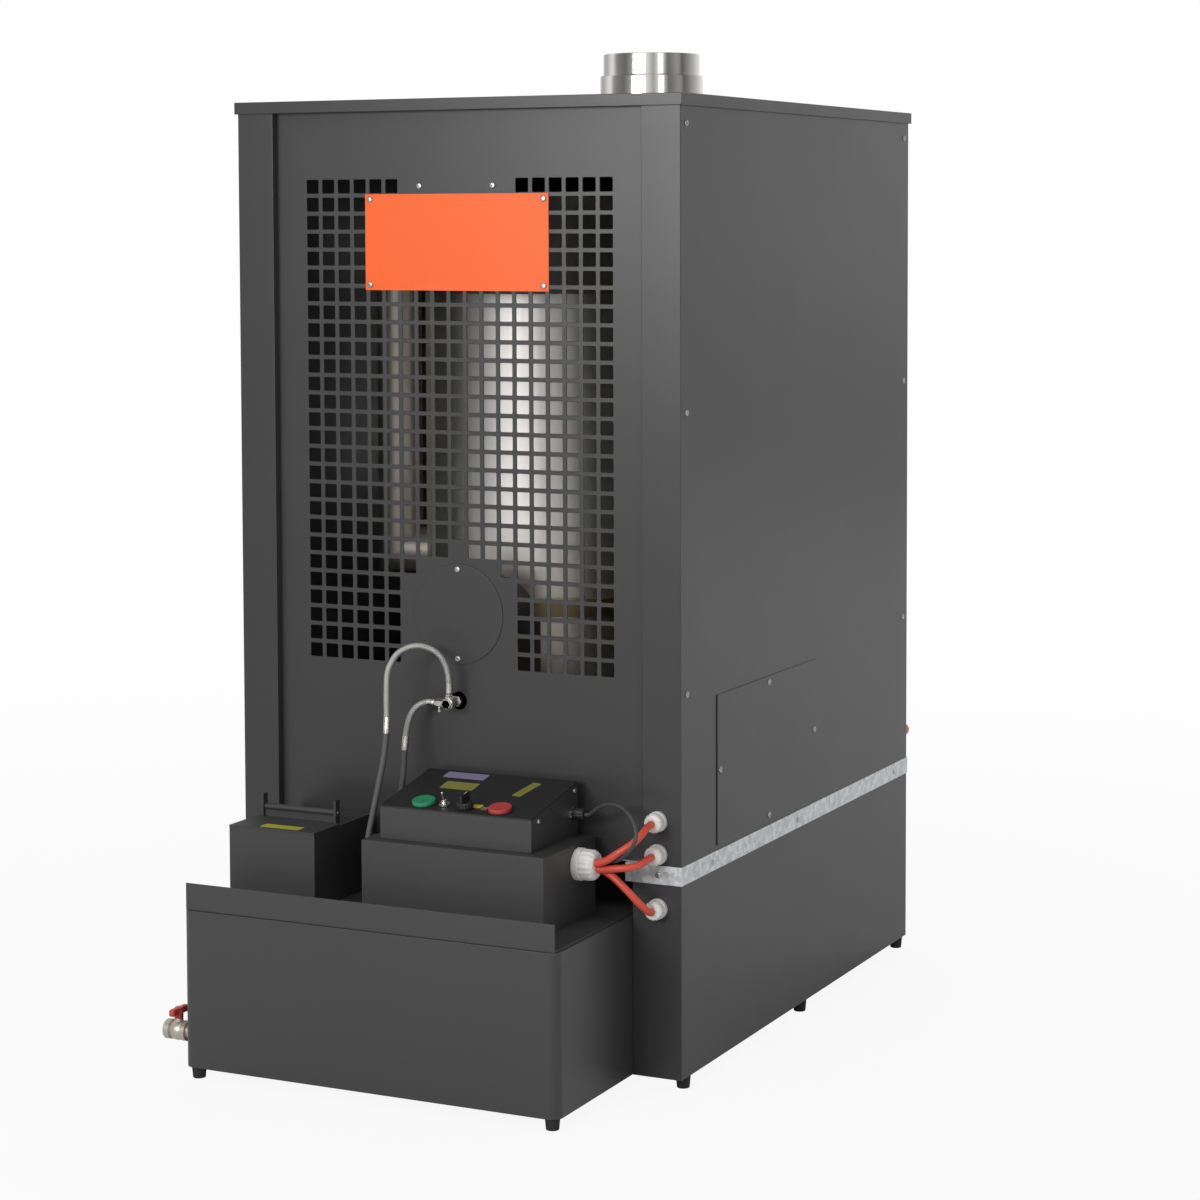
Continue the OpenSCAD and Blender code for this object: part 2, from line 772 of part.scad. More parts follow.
module fuel_tank() {
    color("dimgray") difference() {
        slab([tank_x0, tank_x1], [tank_y0, tank_y1], [foot_h, tank_top], tank_corner);
        slab([tank_x0 + sheet, tank_x1 - sheet], [tank_y0 + sheet, tank_y1 - sheet],
            [foot_h + sheet, tank_top - sheet], tank_corner - sheet);
        rod_z(filler_mid_x, filler_mid_y, [tank_top - 5, tank_top + 1], strainer_r + strainer_gap);
        rod_z(suction_x, pump_y, [tank_top - 5, tank_top + 1], suction_r + strainer_gap);
        rod_x([tank_x0 - 1, tank_x0 + 5], drain_y, drain_z, valve_pipe_r);
    }
}

module drip_tray() {
    color("dimgray") difference() {
        union() {
            block([tray_x0, tray_x1], [tray_y0, tray_y1], [tank_top, tray_top]);
            block([tray_x0, tray_x1], [tray_y0, tray_y0 + sheet], [tank_top, tank_top + lip_h]);
        }
        rod_z(filler_mid_x, filler_mid_y, [tank_top - 1, tray_top + 1], strainer_r + strainer_gap);
        rod_z(suction_x, pump_y, [tank_top - 1, tray_top + 1], suction_r + strainer_gap);
    }
}

// Filler box: walls, funnel plate, rear half of the top, two hinge ears
module filler_box() {
    x = [filler_x, filler_x1];
    ear_z = [box_top - 1, box_top + ear_h];
    color([0.2, 0.2, 0.2]) difference() {
        union() {
            difference() {
                block(x, [box_y0, box_y1], [tray_top, box_top]);
                block([x[0] + sheet, x[1] - sheet], [box_y0 + sheet, box_y1 - sheet],
                    [tray_top - 1, funnel_z]);
                block([x[0] + sheet, x[1] - sheet], [box_y0 + sheet, box_y1 - sheet],
                    [funnel_z + sheet, box_top - sheet]);
                block([x[0] + sheet, x[1] - sheet], [box_y0 + sheet, ear_y0],
                    [funnel_z + sheet, box_top + 1]);
            }
            block([x[0] + ear_in, x[0] + ear_in + ear_w], [ear_y0, ear_y0 + ear_d], ear_z);
            block([x[1] - ear_in - ear_w, x[1] - ear_in], [ear_y0, ear_y0 + ear_d], ear_z);
        }
        rod_x([x[0], x[1]], hinge_y, hinge_z, pin_r);
        rod_z(filler_mid_x, filler_mid_y, [funnel_z - 1, funnel_z + sheet + 1], strainer_r + strainer_gap);
    }
}

module filler_lid() {
    tongue = [filler_x + ear_in + ear_w + 0.5, filler_x1 - ear_in - ear_w - 0.5];
    color([0.2, 0.2, 0.2]) difference() {
        union() {
            block([filler_x, filler_x1], [box_y0 - 1, ear_y0 - 1], [box_top, box_top + sheet]);
            block(tongue, [ear_y0 - 2, hinge_y], [box_top, box_top + sheet]);
            block(tongue, [hinge_y - sheet, hinge_y], [box_top, hinge_z]);
            rod_x(tongue, hinge_y, hinge_z, knuckle_r);
        }
        rod_x([tongue[0] - 1, tongue[1] + 1], hinge_y, hinge_z, pin_r + run_gap);
    }
}

module filler_hinge_pin() {
    color("silver") rod_x([filler_x + ear_in - 1, filler_x1 - ear_in + 1], hinge_y, hinge_z, pin_r);
}

module filler_strainer() {
    z1 = funnel_z + sheet;
    z0 = z1 - strainer_h;
    color("silver") difference() {
        union() {
            rod_z(filler_mid_x, filler_mid_y, [z0, z1], strainer_r);
            rod_z(filler_mid_x, filler_mid_y, [z1, z1 + strainer_wall], strainer_r + strainer_rim);
        }
        rod_z(filler_mid_x, filler_mid_y, [z0 + strainer_wall, z1 + 5], strainer_r - strainer_wall);
        for (k = [0 : slit_count - 1]) translate([filler_mid_x, filler_mid_y, 0]) rotate(k * 360 / slit_count)
            block([0, strainer_r + 1], [-slit_w / 2, slit_w / 2], [z0 + 6, z0 + strainer_h / 2]);
    }
}

module drain_valve() {
    tip = valve_tip_x;
    color("lightgray") difference() {
        union() {
            rod_x([tip, tip + valve_l], drain_y, drain_z, valve_r);
            rod_x([tip + valve_l - 1, tank_x0 + sheet], drain_y, drain_z, valve_pipe_r);
            rod_z(lever_x, drain_y, [drain_z, drain_z + valve_r + 2], stem_r + 2);
        }
        rod_x([tip - 1, tip + outlet_d], drain_y, drain_z, outlet_r);
        rod_z(lever_x, drain_y, [drain_z + valve_r - 4, drain_z + valve_r + 3], stem_r + run_gap);
    }
}

module drain_lever() {
    z0 = drain_z + valve_r + 2.3;
    color("crimson") union() {
        rod_z(lever_x, drain_y, [drain_z + valve_r - 3.5, z0 + 1], stem_r);
        block([lever_x - lever_w / 2, lever_x + lever_w / 2], [drain_y - lever_l / 2, drain_y + lever_l / 2],
            [z0, z0 + lever_t]);
    }
}

module suction_pipe() {
    z0 = foot_h + sheet + suction_up;
    color("silver") union() {
        rod_z(suction_x, pump_y, [z0, tray_top], suction_r);
        rod_z(suction_x, pump_y, [z0, z0 + 20], 2 * suction_r);
    }
}

module pump_box() {
    color([0.2, 0.2, 0.2]) difference() {
        block([pump_x, pump_x1], [box_y0, box_y1], [tray_top, box_top]);
        block([pump_x + sheet, pump_x1 - sheet], [box_y0 + sheet, box_y1 - sheet],
            [tray_top - 1, box_top - sheet]);
        rod_x([pump_x - 1, pump_x + 5], delivery_y, delivery_z, pipe_r + strainer_gap);
    }
}

// Gear outline with involute flanks and a little backlash
gear_pitch_r = gear_centres / 2;
gear_base_r = gear_pitch_r * cos(20);
gear_out_r = gear_pitch_r * 1.125;
gear_root_r = gear_centres - gear_out_r - 0.5;
function involute(a) = tan(a) * 180 / PI - a;
function half_tooth(r) = 90 / gear_teeth - 1 + involute(20) - involute(acos(min(1, gear_base_r / r)));
gear_radii = [gear_root_r, gear_base_r, gear_pitch_r, (gear_pitch_r + gear_out_r) / 2, gear_out_r];
function flank(side, tooth) = [for (r = gear_radii)
    let (a = tooth * 360 / gear_teeth + side * half_tooth(max(r, gear_base_r)))
    r * [cos(a), sin(a)]];
function gear_outline() = [for (tooth = [0 : gear_teeth - 1])
    each concat(flank(-1, tooth), [for (i = [4 : -1 : 0]) flank(1, tooth)[i]])];

module gear(z, turn, shaft_end) {
    color("goldenrod") union() {
        translate([gear_x + gear_gap, pump_y, z]) rotate([90, 0, 90]) rotate(turn)
            linear_extrude(gear_w) polygon(gear_outline());
        rod_x([pump_body_x + 6, shaft_end], pump_y, z, shaft_r);
    }
}

module drive_gear() {
    gear(drive_z, 90, motor_x + shaft_in);
}

module driven_gear() {
    gear(driven_z, 90 + 180 / gear_teeth, pump_body_x1 - 4);
}

module fuel_pump_body() {
    pocket = [gear_x, gear_x + gear_w + 2 * gear_gap];
    color("gray") difference() {
        block([pump_body_x, pump_body_x1], [pump_y - pump_body_w / 2, pump_y + pump_body_w / 2],
            [tray_top, tray_top + pump_body_h]);
        rod_x(pocket, pump_y, drive_z, gear_out_r + gear_gap);
        rod_x(pocket, pump_y, driven_z, gear_out_r + gear_gap);
        rod_x([pump_body_x + 5, pump_body_x1 + 1], pump_y, drive_z, shaft_r + run_gap);
        rod_x([pump_body_x + 5, pump_body_x1 - 3], pump_y, driven_z, shaft_r + run_gap);
    }
}

module pump_motor() {
    color("gray") difference() {
        union() {
            rod_x([motor_x, motor_x + motor_l], pump_y, drive_z, motor_r);
            block([motor_x + 12, motor_x + motor_l - 12], [pump_y - 22, pump_y + 22], [tray_top, drive_z - 10]);
        }
        rod_x([motor_x - 1, motor_x + shaft_in + 2], pump_y, drive_z, shaft_r + run_gap);
    }
}

// Places something on the sloping panel: x from its middle, v up the slope
module on_panel(x, v) {
    translate([desk_mid + x, desk_y0, desk_z + desk_front_h]) rotate([slope, 0, 0]) translate([0, v, 0])
        children();
}

module desk_prism(x, drop) {
    translate([x[0], 0, 0]) rotate([90, 0, 90]) linear_extrude(x[1] - x[0])
        polygon([[desk_y0, desk_z], [desk_y1, desk_z],
            [desk_y1, desk_z + desk_rear_h - drop], [desk_y0, desk_z + desk_front_h - drop]]);
}

module control_box() {
    color([0.2, 0.2, 0.2]) difference() {
        desk_prism([desk_x, desk_x1], sheet / cos(slope));
        block([desk_x + sheet, desk_x1 - sheet], [desk_y0 + sheet, desk_y1 - sheet],
            [desk_z + sheet, desk_z + desk_rear_h + 1]);
    }
}

module control_panel() {
    color([0.2, 0.2, 0.2]) difference() {
        intersection() {
            on_panel(0, 0) translate([-desk_w / 2, -5, -sheet]) cube([desk_w, slope_l + 10, sheet]);
            block([desk_x, desk_x1], [desk_y0, desk_y1], [desk_z, desk_z + desk_rear_h + 5]);
        }
        for (s = [-1, 1]) on_panel(s * button_x, button_v) rod_z(0, 0, [-5, 5], button_r + bush_wall);
        on_panel(knob_x, knob_v) rod_z(0, 0, [-5, 5], knob_r - 4);
        on_panel(toggle_x, toggle_v) rod_z(0, 0, [-5, 5], 3.5);
    }
}

module control_board() {
    z0 = desk_z + sheet;
    x = [desk_x + board_in, desk_x1 - board_in];
    y = [desk_y0 + board_in, desk_y1 - board_back];
    color("seagreen") union() {
        block(x, y, [z0 + 5, z0 + 6.6]);
        for (px = [x[0] + 5, x[1] - 5], py = [y[0] + 5, y[1] - 5]) rod_z(px, py, [z0, z0 + 6], 3);
        for (k = [0 : 3]) block([x[0] + 12 + 28 * k, x[0] + 30 + 28 * k], [y[1] - 24, y[1] - 10], [z0 + 6, z0 + 18]);
    }
}

// Push button: round cap that slides in its bush
module button(s) {
    on_panel(s * button_x, button_v)
        rod_z(0, 0, [button_travel + 1 - bush_depth, bezel_h + button_up], button_r - button_gap);
}

module start_button() {
    color("mediumseagreen") button(-1);
}

module stop_button() {
    color("indianred") button(1);
}

module selector_knob() {
    color([0.15, 0.15, 0.15]) on_panel(knob_x, knob_v) union() {
        rod_z(0, 0, [1.3, knob_h / 2], knob_r);
        block([-2, 2], [-knob_r, knob_r], [knob_h / 2 - 1, knob_h]);
        rod_z(0, 0, [-6, 2], 3);
    }
}

module toggle_lever() {
    color("silver") on_panel(toggle_x, toggle_v) translate([0, 0, 4.5]) rotate([toggle_tilt, 0, 0]) union() {
        sphere(2.4);
        rod_z(0, 0, [0, toggle_l], toggle_r);
    }
}

// Bushes in the panel: two rings with cups, knob bush, toggle bush
module panel_bushes() {
    color([0.25, 0.25, 0.25]) {
        for (s = [-1, 1]) on_panel(s * button_x, button_v) difference() {
            union() {
                rod_z(0, 0, [0, bezel_h], button_r + bezel_wall);
                rod_z(0, 0, [-bush_depth - sheet, bezel_h], button_r + bush_wall);
            }
            rod_z(0, 0, [-bush_depth, bezel_h + 1], button_r);
        }
        on_panel(knob_x, knob_v) difference() {
            union() {
                rod_z(0, 0, [0, 1], knob_r - 2);
                rod_z(0, 0, [-bush_depth, 1], knob_r - 4);
            }
            rod_z(0, 0, [-7, 2], 3 + run_gap);
        }
        on_panel(toggle_x, toggle_v) difference() {
            union() {
                cylinder(r = 6, h = 3, $fn = 6);
                rod_z(0, 0, [-bush_depth, 6], 3.5);
            }
            rod_z(0, 0, [2, 7], 2.7);
        }
    }
}

// Gland body along +Z: round foot, barrel and narrower cap
module gland_shape(r, l) {
    cylinder(r = r * 1.05, h = l * 0.3);
    cylinder(r = r, h = l * 0.8);
    cylinder(r = r * 0.86, h = l);
}

module large_gland() {
    color("white") translate([pump_x1, cab_y0 - big_gland_front, big_gland_z]) rotate([0, 90, 0])
        gland_shape(big_gland_r, big_gland_l);
}

module small_glands() {
    color("white") for (z = [lower_gland_z, middle_gland_z, upper_gland_z])
        translate([small_gland_x, cab_y0, z]) rotate([90, 0, 0])
            gland_shape(small_gland_r, small_gland_l);
}

// Dark fittings: sensor gland at the control box, mains gland and reset housing at the rear
module black_glands() {
    color([0.12, 0.12, 0.12]) {
        rod_x([desk_x1, desk_x1 + sensor_l], cab_y0 - sensor_front, sensor_z, sensor_r);
        difference() {
            translate([mains_x, rear_y1, mains_z]) rotate([-90, 0, 0]) gland_shape(11, 24);
            rod_y(mains_x, [rear_y1 - 1, rear_y1 + 30], mains_z, mains_r);
        }
        difference() {
            rod_y(reset_x, [cab_y1, cab_y1 + 10], reset_z, reset_r + 1);
            rod_y(reset_x, [cab_y1 + 2, cab_y1 + 11], reset_z, 3 + button_gap);
        }
    }
}

// Fuel fitting in the front panel with its feed pipe to the bowl, the nipple on
// the tray for the long hose and the elbow into the pump box for the short one
module hose_fittings() {
    y0 = cab_y0 - fitting_front;
    color("silver") {
        union() {
            rod_y(0, [y0 - 8, y0 + 10], fitting_z, fitting_r);
            rod_y(0, [y0 + 9, chamber_y - 20], fitting_z, feed_r);
            rod_y(0, [panel_y0 - 8, panel_y0 + 4], fitting_z, fitting_r);
            rod_x([-branch_left, 0], y0, fitting_z, branch_r);
            rod_z(0, y0, [fitting_z, fitting_z + 10], branch_r);
            rod_z(-12, y0, [fitting_z - 10, fitting_z], 2);
            rod_z(0, chamber_y - 20, [fitting_z - 60, fitting_z], feed_r);
            translate([0, chamber_y - 20, fitting_z]) sphere(feed_r);
        }
        union() {
            rod_z(nipple_x, cab_y0 - nipple_front, [tray_top, tray_top + 3], fitting_r);
            rod_z(nipple_x, cab_y0 - nipple_front, [tray_top, tray_top + nipple_h], hose_r + 0.6);
        }
        union() {
            rod_z(elbow_x, delivery_y, [delivery_z, delivery_z + elbow_h], pipe_r);
            translate([elbow_x, delivery_y, delivery_z]) sphere(pipe_r);
            rod_x([elbow_x, pump_body_x], delivery_y, delivery_z, pipe_r);
        }
    }
}

module hose_long() {
    color("lightgray") cord(hose_long_points, hose_r, 10, [0, 1, 0]);
}

module hose_short() {
    color("lightgray") cord(hose_short_points, hose_r, 10, [0, 1, 0]);
}

module cable_upper() {
    color("tomato") cord(cable_upper_points, cable_r, 10, [0, 0, 1]);
}

module cable_middle() {
    color("tomato") cord(cable_middle_points, cable_r, 10, [0, 0, 1]);
}

module cable_lower() {
    color("tomato") cord(cable_lower_points, cable_r, 10, [0, 0, 1]);
}

module sensor_wire() {
    color("dimgray") cord(wire_points, wire_r, 8, [0, 1, 0]);
}

// One short leg of a smoke tube, from the chamber's axis out to its mitred corner
module tube_leg(z, turn) {
    difference() {
        rod_x([chamber_r - 30, tube_off + tube_r], 0, z, tube_r);
        rod_x([chamber_r - 31, tube_off + tube_r + 1], 0, z, tube_r - hot_wall);
        mitre_cut(z, turn, [-tube_weld / 2, 4 * tube_r]);
    }
}

// Upright pipe of a smoke tube, mitred at both ends
module tube_riser() {
    difference() {
        rod_z(tube_off, 0, [tube_z0 - tube_r, tube_z1 + tube_r], tube_r);
        rod_z(tube_off, 0, [tube_z0 - tube_r - 1, tube_z1 + tube_r + 1], tube_r - hot_wall);
        mitre_cut(tube_z0, 45, [-4 * tube_r, tube_weld / 2]);
        mitre_cut(tube_z1, 135, [-4 * tube_r, tube_weld / 2]);
    }
}

// Block on one side of the mitre at a corner of a smoke tube
module mitre_cut(z, turn, side) {
    reach = 2 * tube_r;
    translate([tube_off, 0, z]) rotate([0, turn, 0]) block([-reach, reach], [-reach, reach], side);
}

// Turns something from the chamber's axis towards one smoke tube
module at_tube(end) {
    translate([0, chamber_y, 0])
        rotate(atan2(end[1] * sin(tube_angle), end[0] * cos(tube_angle))) children();
}

module smoke_tubes() {
    color("gray") for (end = tube_ends) difference() {
        at_tube(end) {
            tube_leg(tube_z0, 45);
            tube_riser();
            tube_leg(tube_z1, 135);
        }
        rod_z(0, chamber_y, [chamber_z, drum_top], chamber_r);
    }
}

module combustion_chamber() {
    color("lightgray") difference() {
        union() {
            rod_z(0, chamber_y, [chamber_z, chamber_top], chamber_r);
            rod_z(0, chamber_y, [band_z, band_z + band_t], band_r);
        }
        rod_z(0, chamber_y, [band_z + band_t, chamber_top - hot_wall], chamber_r - hot_wall);
        rod_z(0, chamber_y, [band_z - 1, band_z + band_t + 1], housing_r - hot_wall);
        for (end = tube_ends) at_tube(end) rod_x([chamber_r - 10, chamber_r + 5], 0, tube_z0, tube_r - hot_wall);
        rod_y(0, [chamber_y - band_r - 5, chamber_y], sight_z, port_hole_r);
        rod_z(0, chamber_y, [chamber_top - 5, chamber_top + 1], neck_r);
    }
}

module burner_housing() {
    color("gray") difference() {
        rod_z(0, chamber_y, [deck_top, band_z], housing_r);
        rod_z(0, chamber_y, [deck_top + hot_wall, band_z + 1], housing_r - hot_wall);
        rod_y(0, [chamber_y - housing_r - 5, chamber_y], sight_z, port_hole_r);
        rod_y(0, [chamber_y - housing_r - 5, chamber_y - 20], fitting_z, feed_r);
        block([duct_x + hot_wall, duct_x + duct_w - hot_wall], [blower_y, chamber_y],
            [blower_z + hot_wall, blower_top - hot_wall]);
    }
}

module burner_bowl() {
    color([0.3, 0.3, 0.3]) difference() {
        union() {
            rod_z(0, chamber_y, [deck_top + hot_wall, bowl_z + 1], bowl_r / 3);
            rod_z(0, chamber_y, [bowl_z, ring_z], bowl_r);
        }
        rod_z(0, chamber_y, [bowl_z + 8, ring_z + 1], bowl_r - 8);
    }
}

module flame_ring() {
    color("gray") difference() {
        rod_z(0, chamber_y, [ring_z, ring_z + ring_h], ring_r);
        rod_z(0, chamber_y, [ring_z - 1, ring_z + ring_h + 1], ring_r - 3);
        for (row = [0 : 2], k = [0 : 5])
            translate([0, chamber_y, ring_z + 25 + 30 * row]) rotate(k * 30 + row * 15)
                cube([2 * ring_r + 10, 8, 8], center = true);
        rod_y(0, [chamber_y - ring_r - 5, chamber_y - 20], fitting_z, feed_r);
    }
}

// Outline of the smoke drum with the box that carries the flue
module drum_shape(inset, z) {
    rod_z(0, chamber_y, z, chamber_r - inset);
    rod_z(0, flue_y, z, flue_plate_r - inset);
    block([inset - flue_plate_r, flue_plate_r - inset], [chamber_y, flue_y], z);
}

module smoke_drum() {
    color("gray") difference() {
        drum_shape(0, [chamber_top, drum_top]);
        drum_shape(hot_wall, [chamber_top + hot_wall, drum_top - hot_wall]);
        rod_z(0, chamber_y, [chamber_top - 1, chamber_top + 5], neck_r);
        rod_z(0, flue_y, [drum_top - 5, drum_top + 1], flue_r - hot_wall);
        for (end = tube_ends) at_tube(end) rod_x([chamber_r - 10, chamber_r + 5], 0, tube_z1, tube_r - hot_wall);
    }
}

module flue_spigot() {
    color("silver") difference() {
        union() {
            rod_z(0, flue_y, [drum_top, top_z + flue_h], flue_r);
            rod_z(0, flue_y, [top_z, top_z + collar_h], collar_r);
            rod_z(0, flue_y, [top_z, top_z + sheet], flue_plate_r);
        }
        rod_z(0, flue_y, [drum_top - 1, top_z + flue_h + 1], flue_r - hot_wall);
    }
}

// Arched outline of the duct round the sight port and the feed pipe
module duct_shape(inset, y) {
    r = port_duct_r - inset;
    rod_y(0, y, sight_z, r);
    block([-r, r], y, [sight_z - port_duct_low + inset, sight_z]);
}

module port_duct() {
    color("gray") difference() {
        duct_shape(0, [panel_y1, chamber_y]);
        duct_shape(hot_wall, [panel_y1 - 1, chamber_y + 1]);
        rod_z(0, chamber_y, [band_z, band_z + band_t], band_r);
        rod_z(0, chamber_y, [band_z, chamber_top], chamber_r);
        rod_z(0, chamber_y, [deck_top, band_z + 1], housing_r);
    }
}

module fan_ring() {
    color("gray") difference() {
        union() {
            rod_y(0, [rear_y1 - ring_depth, rear_y1], fan_z, ring_hole_r + ring_t);
            rod_y(0, [rear_y1, rear_y1 + sheet], fan_z, guard_r - bar_w - 2);
        }
        rod_y(0, [rear_y1 - ring_depth - 1, rear_y1 + sheet + 1], fan_z, ring_hole_r);
    }
}

// Flat ring of square bar round the fan's axis
module hoop(r, y, w) {
    translate([0, y, fan_z]) rotate([-90, 0, 0]) difference() {
        cylinder(r = r, h = w);
        translate([0, 0, -1]) cylinder(r = r - w, h = w + 2);
    }
}

module fan_guard() {
    back = guard_y - bar_w;
    step = (guard_r - bar_w - guard_plate_r) / guard_rings;
    color([0.15, 0.15, 0.15]) union() {
        rod_y(0, [back, guard_y], fan_z, guard_plate_r);
        for (k = [1 : guard_rings]) hoop(guard_plate_r + k * step + bar_w, back, bar_w);
        for (y = [rear_y1, (rear_y1 + back) / 2]) hoop(guard_r, y, bar_w);
        translate([0, 0, fan_z]) for (k = [0 : guard_spokes - 1]) rotate([0, k * 360 / guard_spokes, 0]) {
            block([guard_plate_r - 5, guard_r - 1], [back, guard_y - 0.5], [-bar_w / 2, bar_w / 2]);
            block([guard_r - bar_w, guard_r - 0.5], [rear_y1, guard_y - 0.5], [-bar_w / 2, bar_w / 2]);
        }
    }
}

module fan_motor() {
    color([0.2, 0.2, 0.2]) difference() {
        rod_y(0, [fan_motor_y, fan_motor_y + fan_motor_l], fan_z, fan_motor_r);
        rod_y(0, [fan_motor_y - 1, fan_motor_y + 20], fan_z, fan_shaft_r + run_gap);
    }
}

module fan_blades() {
    color("silver") union() {
        rod_y(0, [hub_y0, hub_y1], fan_z, hub_r);
        rod_y(0, [hub_y1 - 1, fan_motor_y + 18], fan_z, fan_shaft_r);
        intersection() {
            rod_y(0, [hub_y0 - 20, hub_y1 + 20], fan_z, fan_r);
            translate([0, blade_y, fan_z]) for (k = [0 : fan_blade_count - 1])
                rotate([0, k * 360 / fan_blade_count, 0]) rotate([fan_pitch, 0, 0])
                    block([hub_r - 6, fan_r + 5], [-blade_t / 2, blade_t / 2], [-fan_chord / 2, fan_chord / 2]);
        }
    }
}

// Combustion-air blower: snail casing on three legs with a duct to the burner housing
module blower_casing() {
    color("gray") difference() {
        union() {
            rod_z(blower_x, blower_y, [blower_z, blower_top], blower_r);
            block([duct_x, duct_x + duct_w], [blower_y, chamber_y], [blower_z, blower_top]);
            for (a = [30, 150, 270]) rod_z(blower_x + 45 * cos(a), blower_y + 45 * sin(a), [deck_top, blower_z + 1], 5);
        }
        rod_z(blower_x, blower_y, [blower_z + hot_wall, blower_top - hot_wall], blower_r - hot_wall);
        block([duct_x + hot_wall, duct_x + duct_w - hot_wall], [blower_y, chamber_y + 1],
            [blower_z + hot_wall, blower_top - hot_wall]);
        rod_z(blower_x, blower_y, [blower_z - 1, blower_z + 5], eye_r);
        rod_z(blower_x, blower_y, [blower_top - 5, blower_top + 1], shaft_r + 2);
        rod_z(0, chamber_y, [deck_top, chamber_top], housing_r);
    }
}

module blower_motor() {
    color([0.25, 0.25, 0.25]) difference() {
        rod_z(blower_x, blower_y, [blower_top, blower_top + blower_motor_l], blower_motor_r);
        rod_z(blower_x, blower_y, [blower_top - 1, blower_top + 20], shaft_r + run_gap);
    }
}

module blower_impeller() {
    z0 = blower_z + 8;
    z1 = blower_top - 6;
    color("lightgray") translate([blower_x, blower_y, 0]) union() {
        rod_z(0, 0, [z0, blower_top + 18], shaft_r);
        rod_z(0, 0, [z1 - 2, z1], wheel_r);
        difference() {
            rod_z(0, 0, [z0, z0 + 2], wheel_r);
            rod_z(0, 0, [z0 - 1, z0 + 3], wheel_r - 12);
        }
        for (k = [0 : wheel_blades - 1]) rotate(k * 360 / wheel_blades) translate([wheel_r - 10, 0, 0]) rotate(30)
            block([-1, 7], [-0.7, 0.7], [z0 + 1, z1 - 1]);
    }
}

module reset_button() {
    color("firebrick") union() {
        rod_y(reset_x, [cab_y1 + 6, cab_y1 + 15], reset_z, 3);
        rod_y(reset_x, [cab_y1 + 14, cab_y1 + 25], reset_z, reset_r);
    }
}

// Screw heads, drawn where each panel is held
module panel_screws() {
    plate_z = [case_top - plate_drop - 6, case_top - plate_drop - plate_h + 6];
    hatch_y = cab_y0 + hatch_back;
    hatch_z = deck_top + hatch_up;
    side_screw_z = [deck_top + side_screw_low, deck_top + side_screw_mid, case_top - side_screw_drop];
    color("silver") {
        for (s = [-1, 1], y = [cab_y0 + 15, cab_y1 - 16], z = side_screw_z)
            rod_x(s < 0 ? [-half_w - screw_h, -half_w] : [half_w, half_w + screw_h], y, z, screw_r);
        for (p = [[7, hatch_h / 2], [hatch_w - 7, hatch_h / 2], [hatch_w / 2, 7], [hatch_w / 2, hatch_h - 7]])
            rod_x([half_w + cover_t, half_w + cover_t + screw_h], hatch_y + p[0], hatch_z + p[1], screw_r);
        for (x = [-plate_w / 2 + 6, plate_w / 2 - 6], z = plate_z)
            rod_y(x, [panel_y0 - cover_t - screw_h, panel_y0 - cover_t], z, screw_r);
        for (s = [-1, 1])
            rod_y(0, [panel_y0 - cover_t - screw_h, panel_y0 - cover_t], port_z + s * (port_cover_r - 6), screw_r);
        for (x = [-45, 45]) rod_y(x, [panel_y0 - screw_h, panel_y0], grille_z, screw_r);
        for (x = [-half_w + 26, half_w - 26])
            rod_y(x, [cab_y0 - deck_out - screw_h, cab_y0 - deck_out], base_top + deck_h / 2, screw_r);
        for (p = [[desk_y0 + 16.5, desk_front_h - 5], [desk_y1 - 8, desk_rear_h - 9]])
            rod_x([desk_x1, desk_x1 + screw_h], p[0], desk_z + p[1], 3);
    }
}

base_casing();
burner_deck();
side_panel_left();
side_panel_right();
front_grille_panel();
rear_panel();
top_lid();
access_cover();
port_cover();
label_plate();
feet();
fuel_tank();
drip_tray();
filler_box();
filler_lid();
filler_hinge_pin();
filler_strainer();
drain_valve();
drain_lever();
suction_pipe();
pump_box();
fuel_pump_body();
pump_motor();
drive_gear();
driven_gear();
control_box();
control_panel();
control_board();
start_button();
stop_button();
selector_knob();
toggle_lever();
panel_bushes();
large_gland();
small_glands();
black_glands();
hose_fittings();
hose_long();
hose_short();
cable_upper();
cable_middle();
cable_lower();
sensor_wire();
combustion_chamber();
burner_housing();
burner_bowl();
flame_ring();
smoke_tubes();
smoke_drum();
flue_spigot();
port_duct();
fan_ring();
fan_guard();
fan_motor();
fan_blades();
blower_casing();
blower_motor();
blower_impeller();
reset_button();
panel_screws();
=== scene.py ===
import bmesh
import bpy
import json
from math import atan2, ceil, cos, hypot, pi, radians, sin
from mathutils import Matrix, Vector

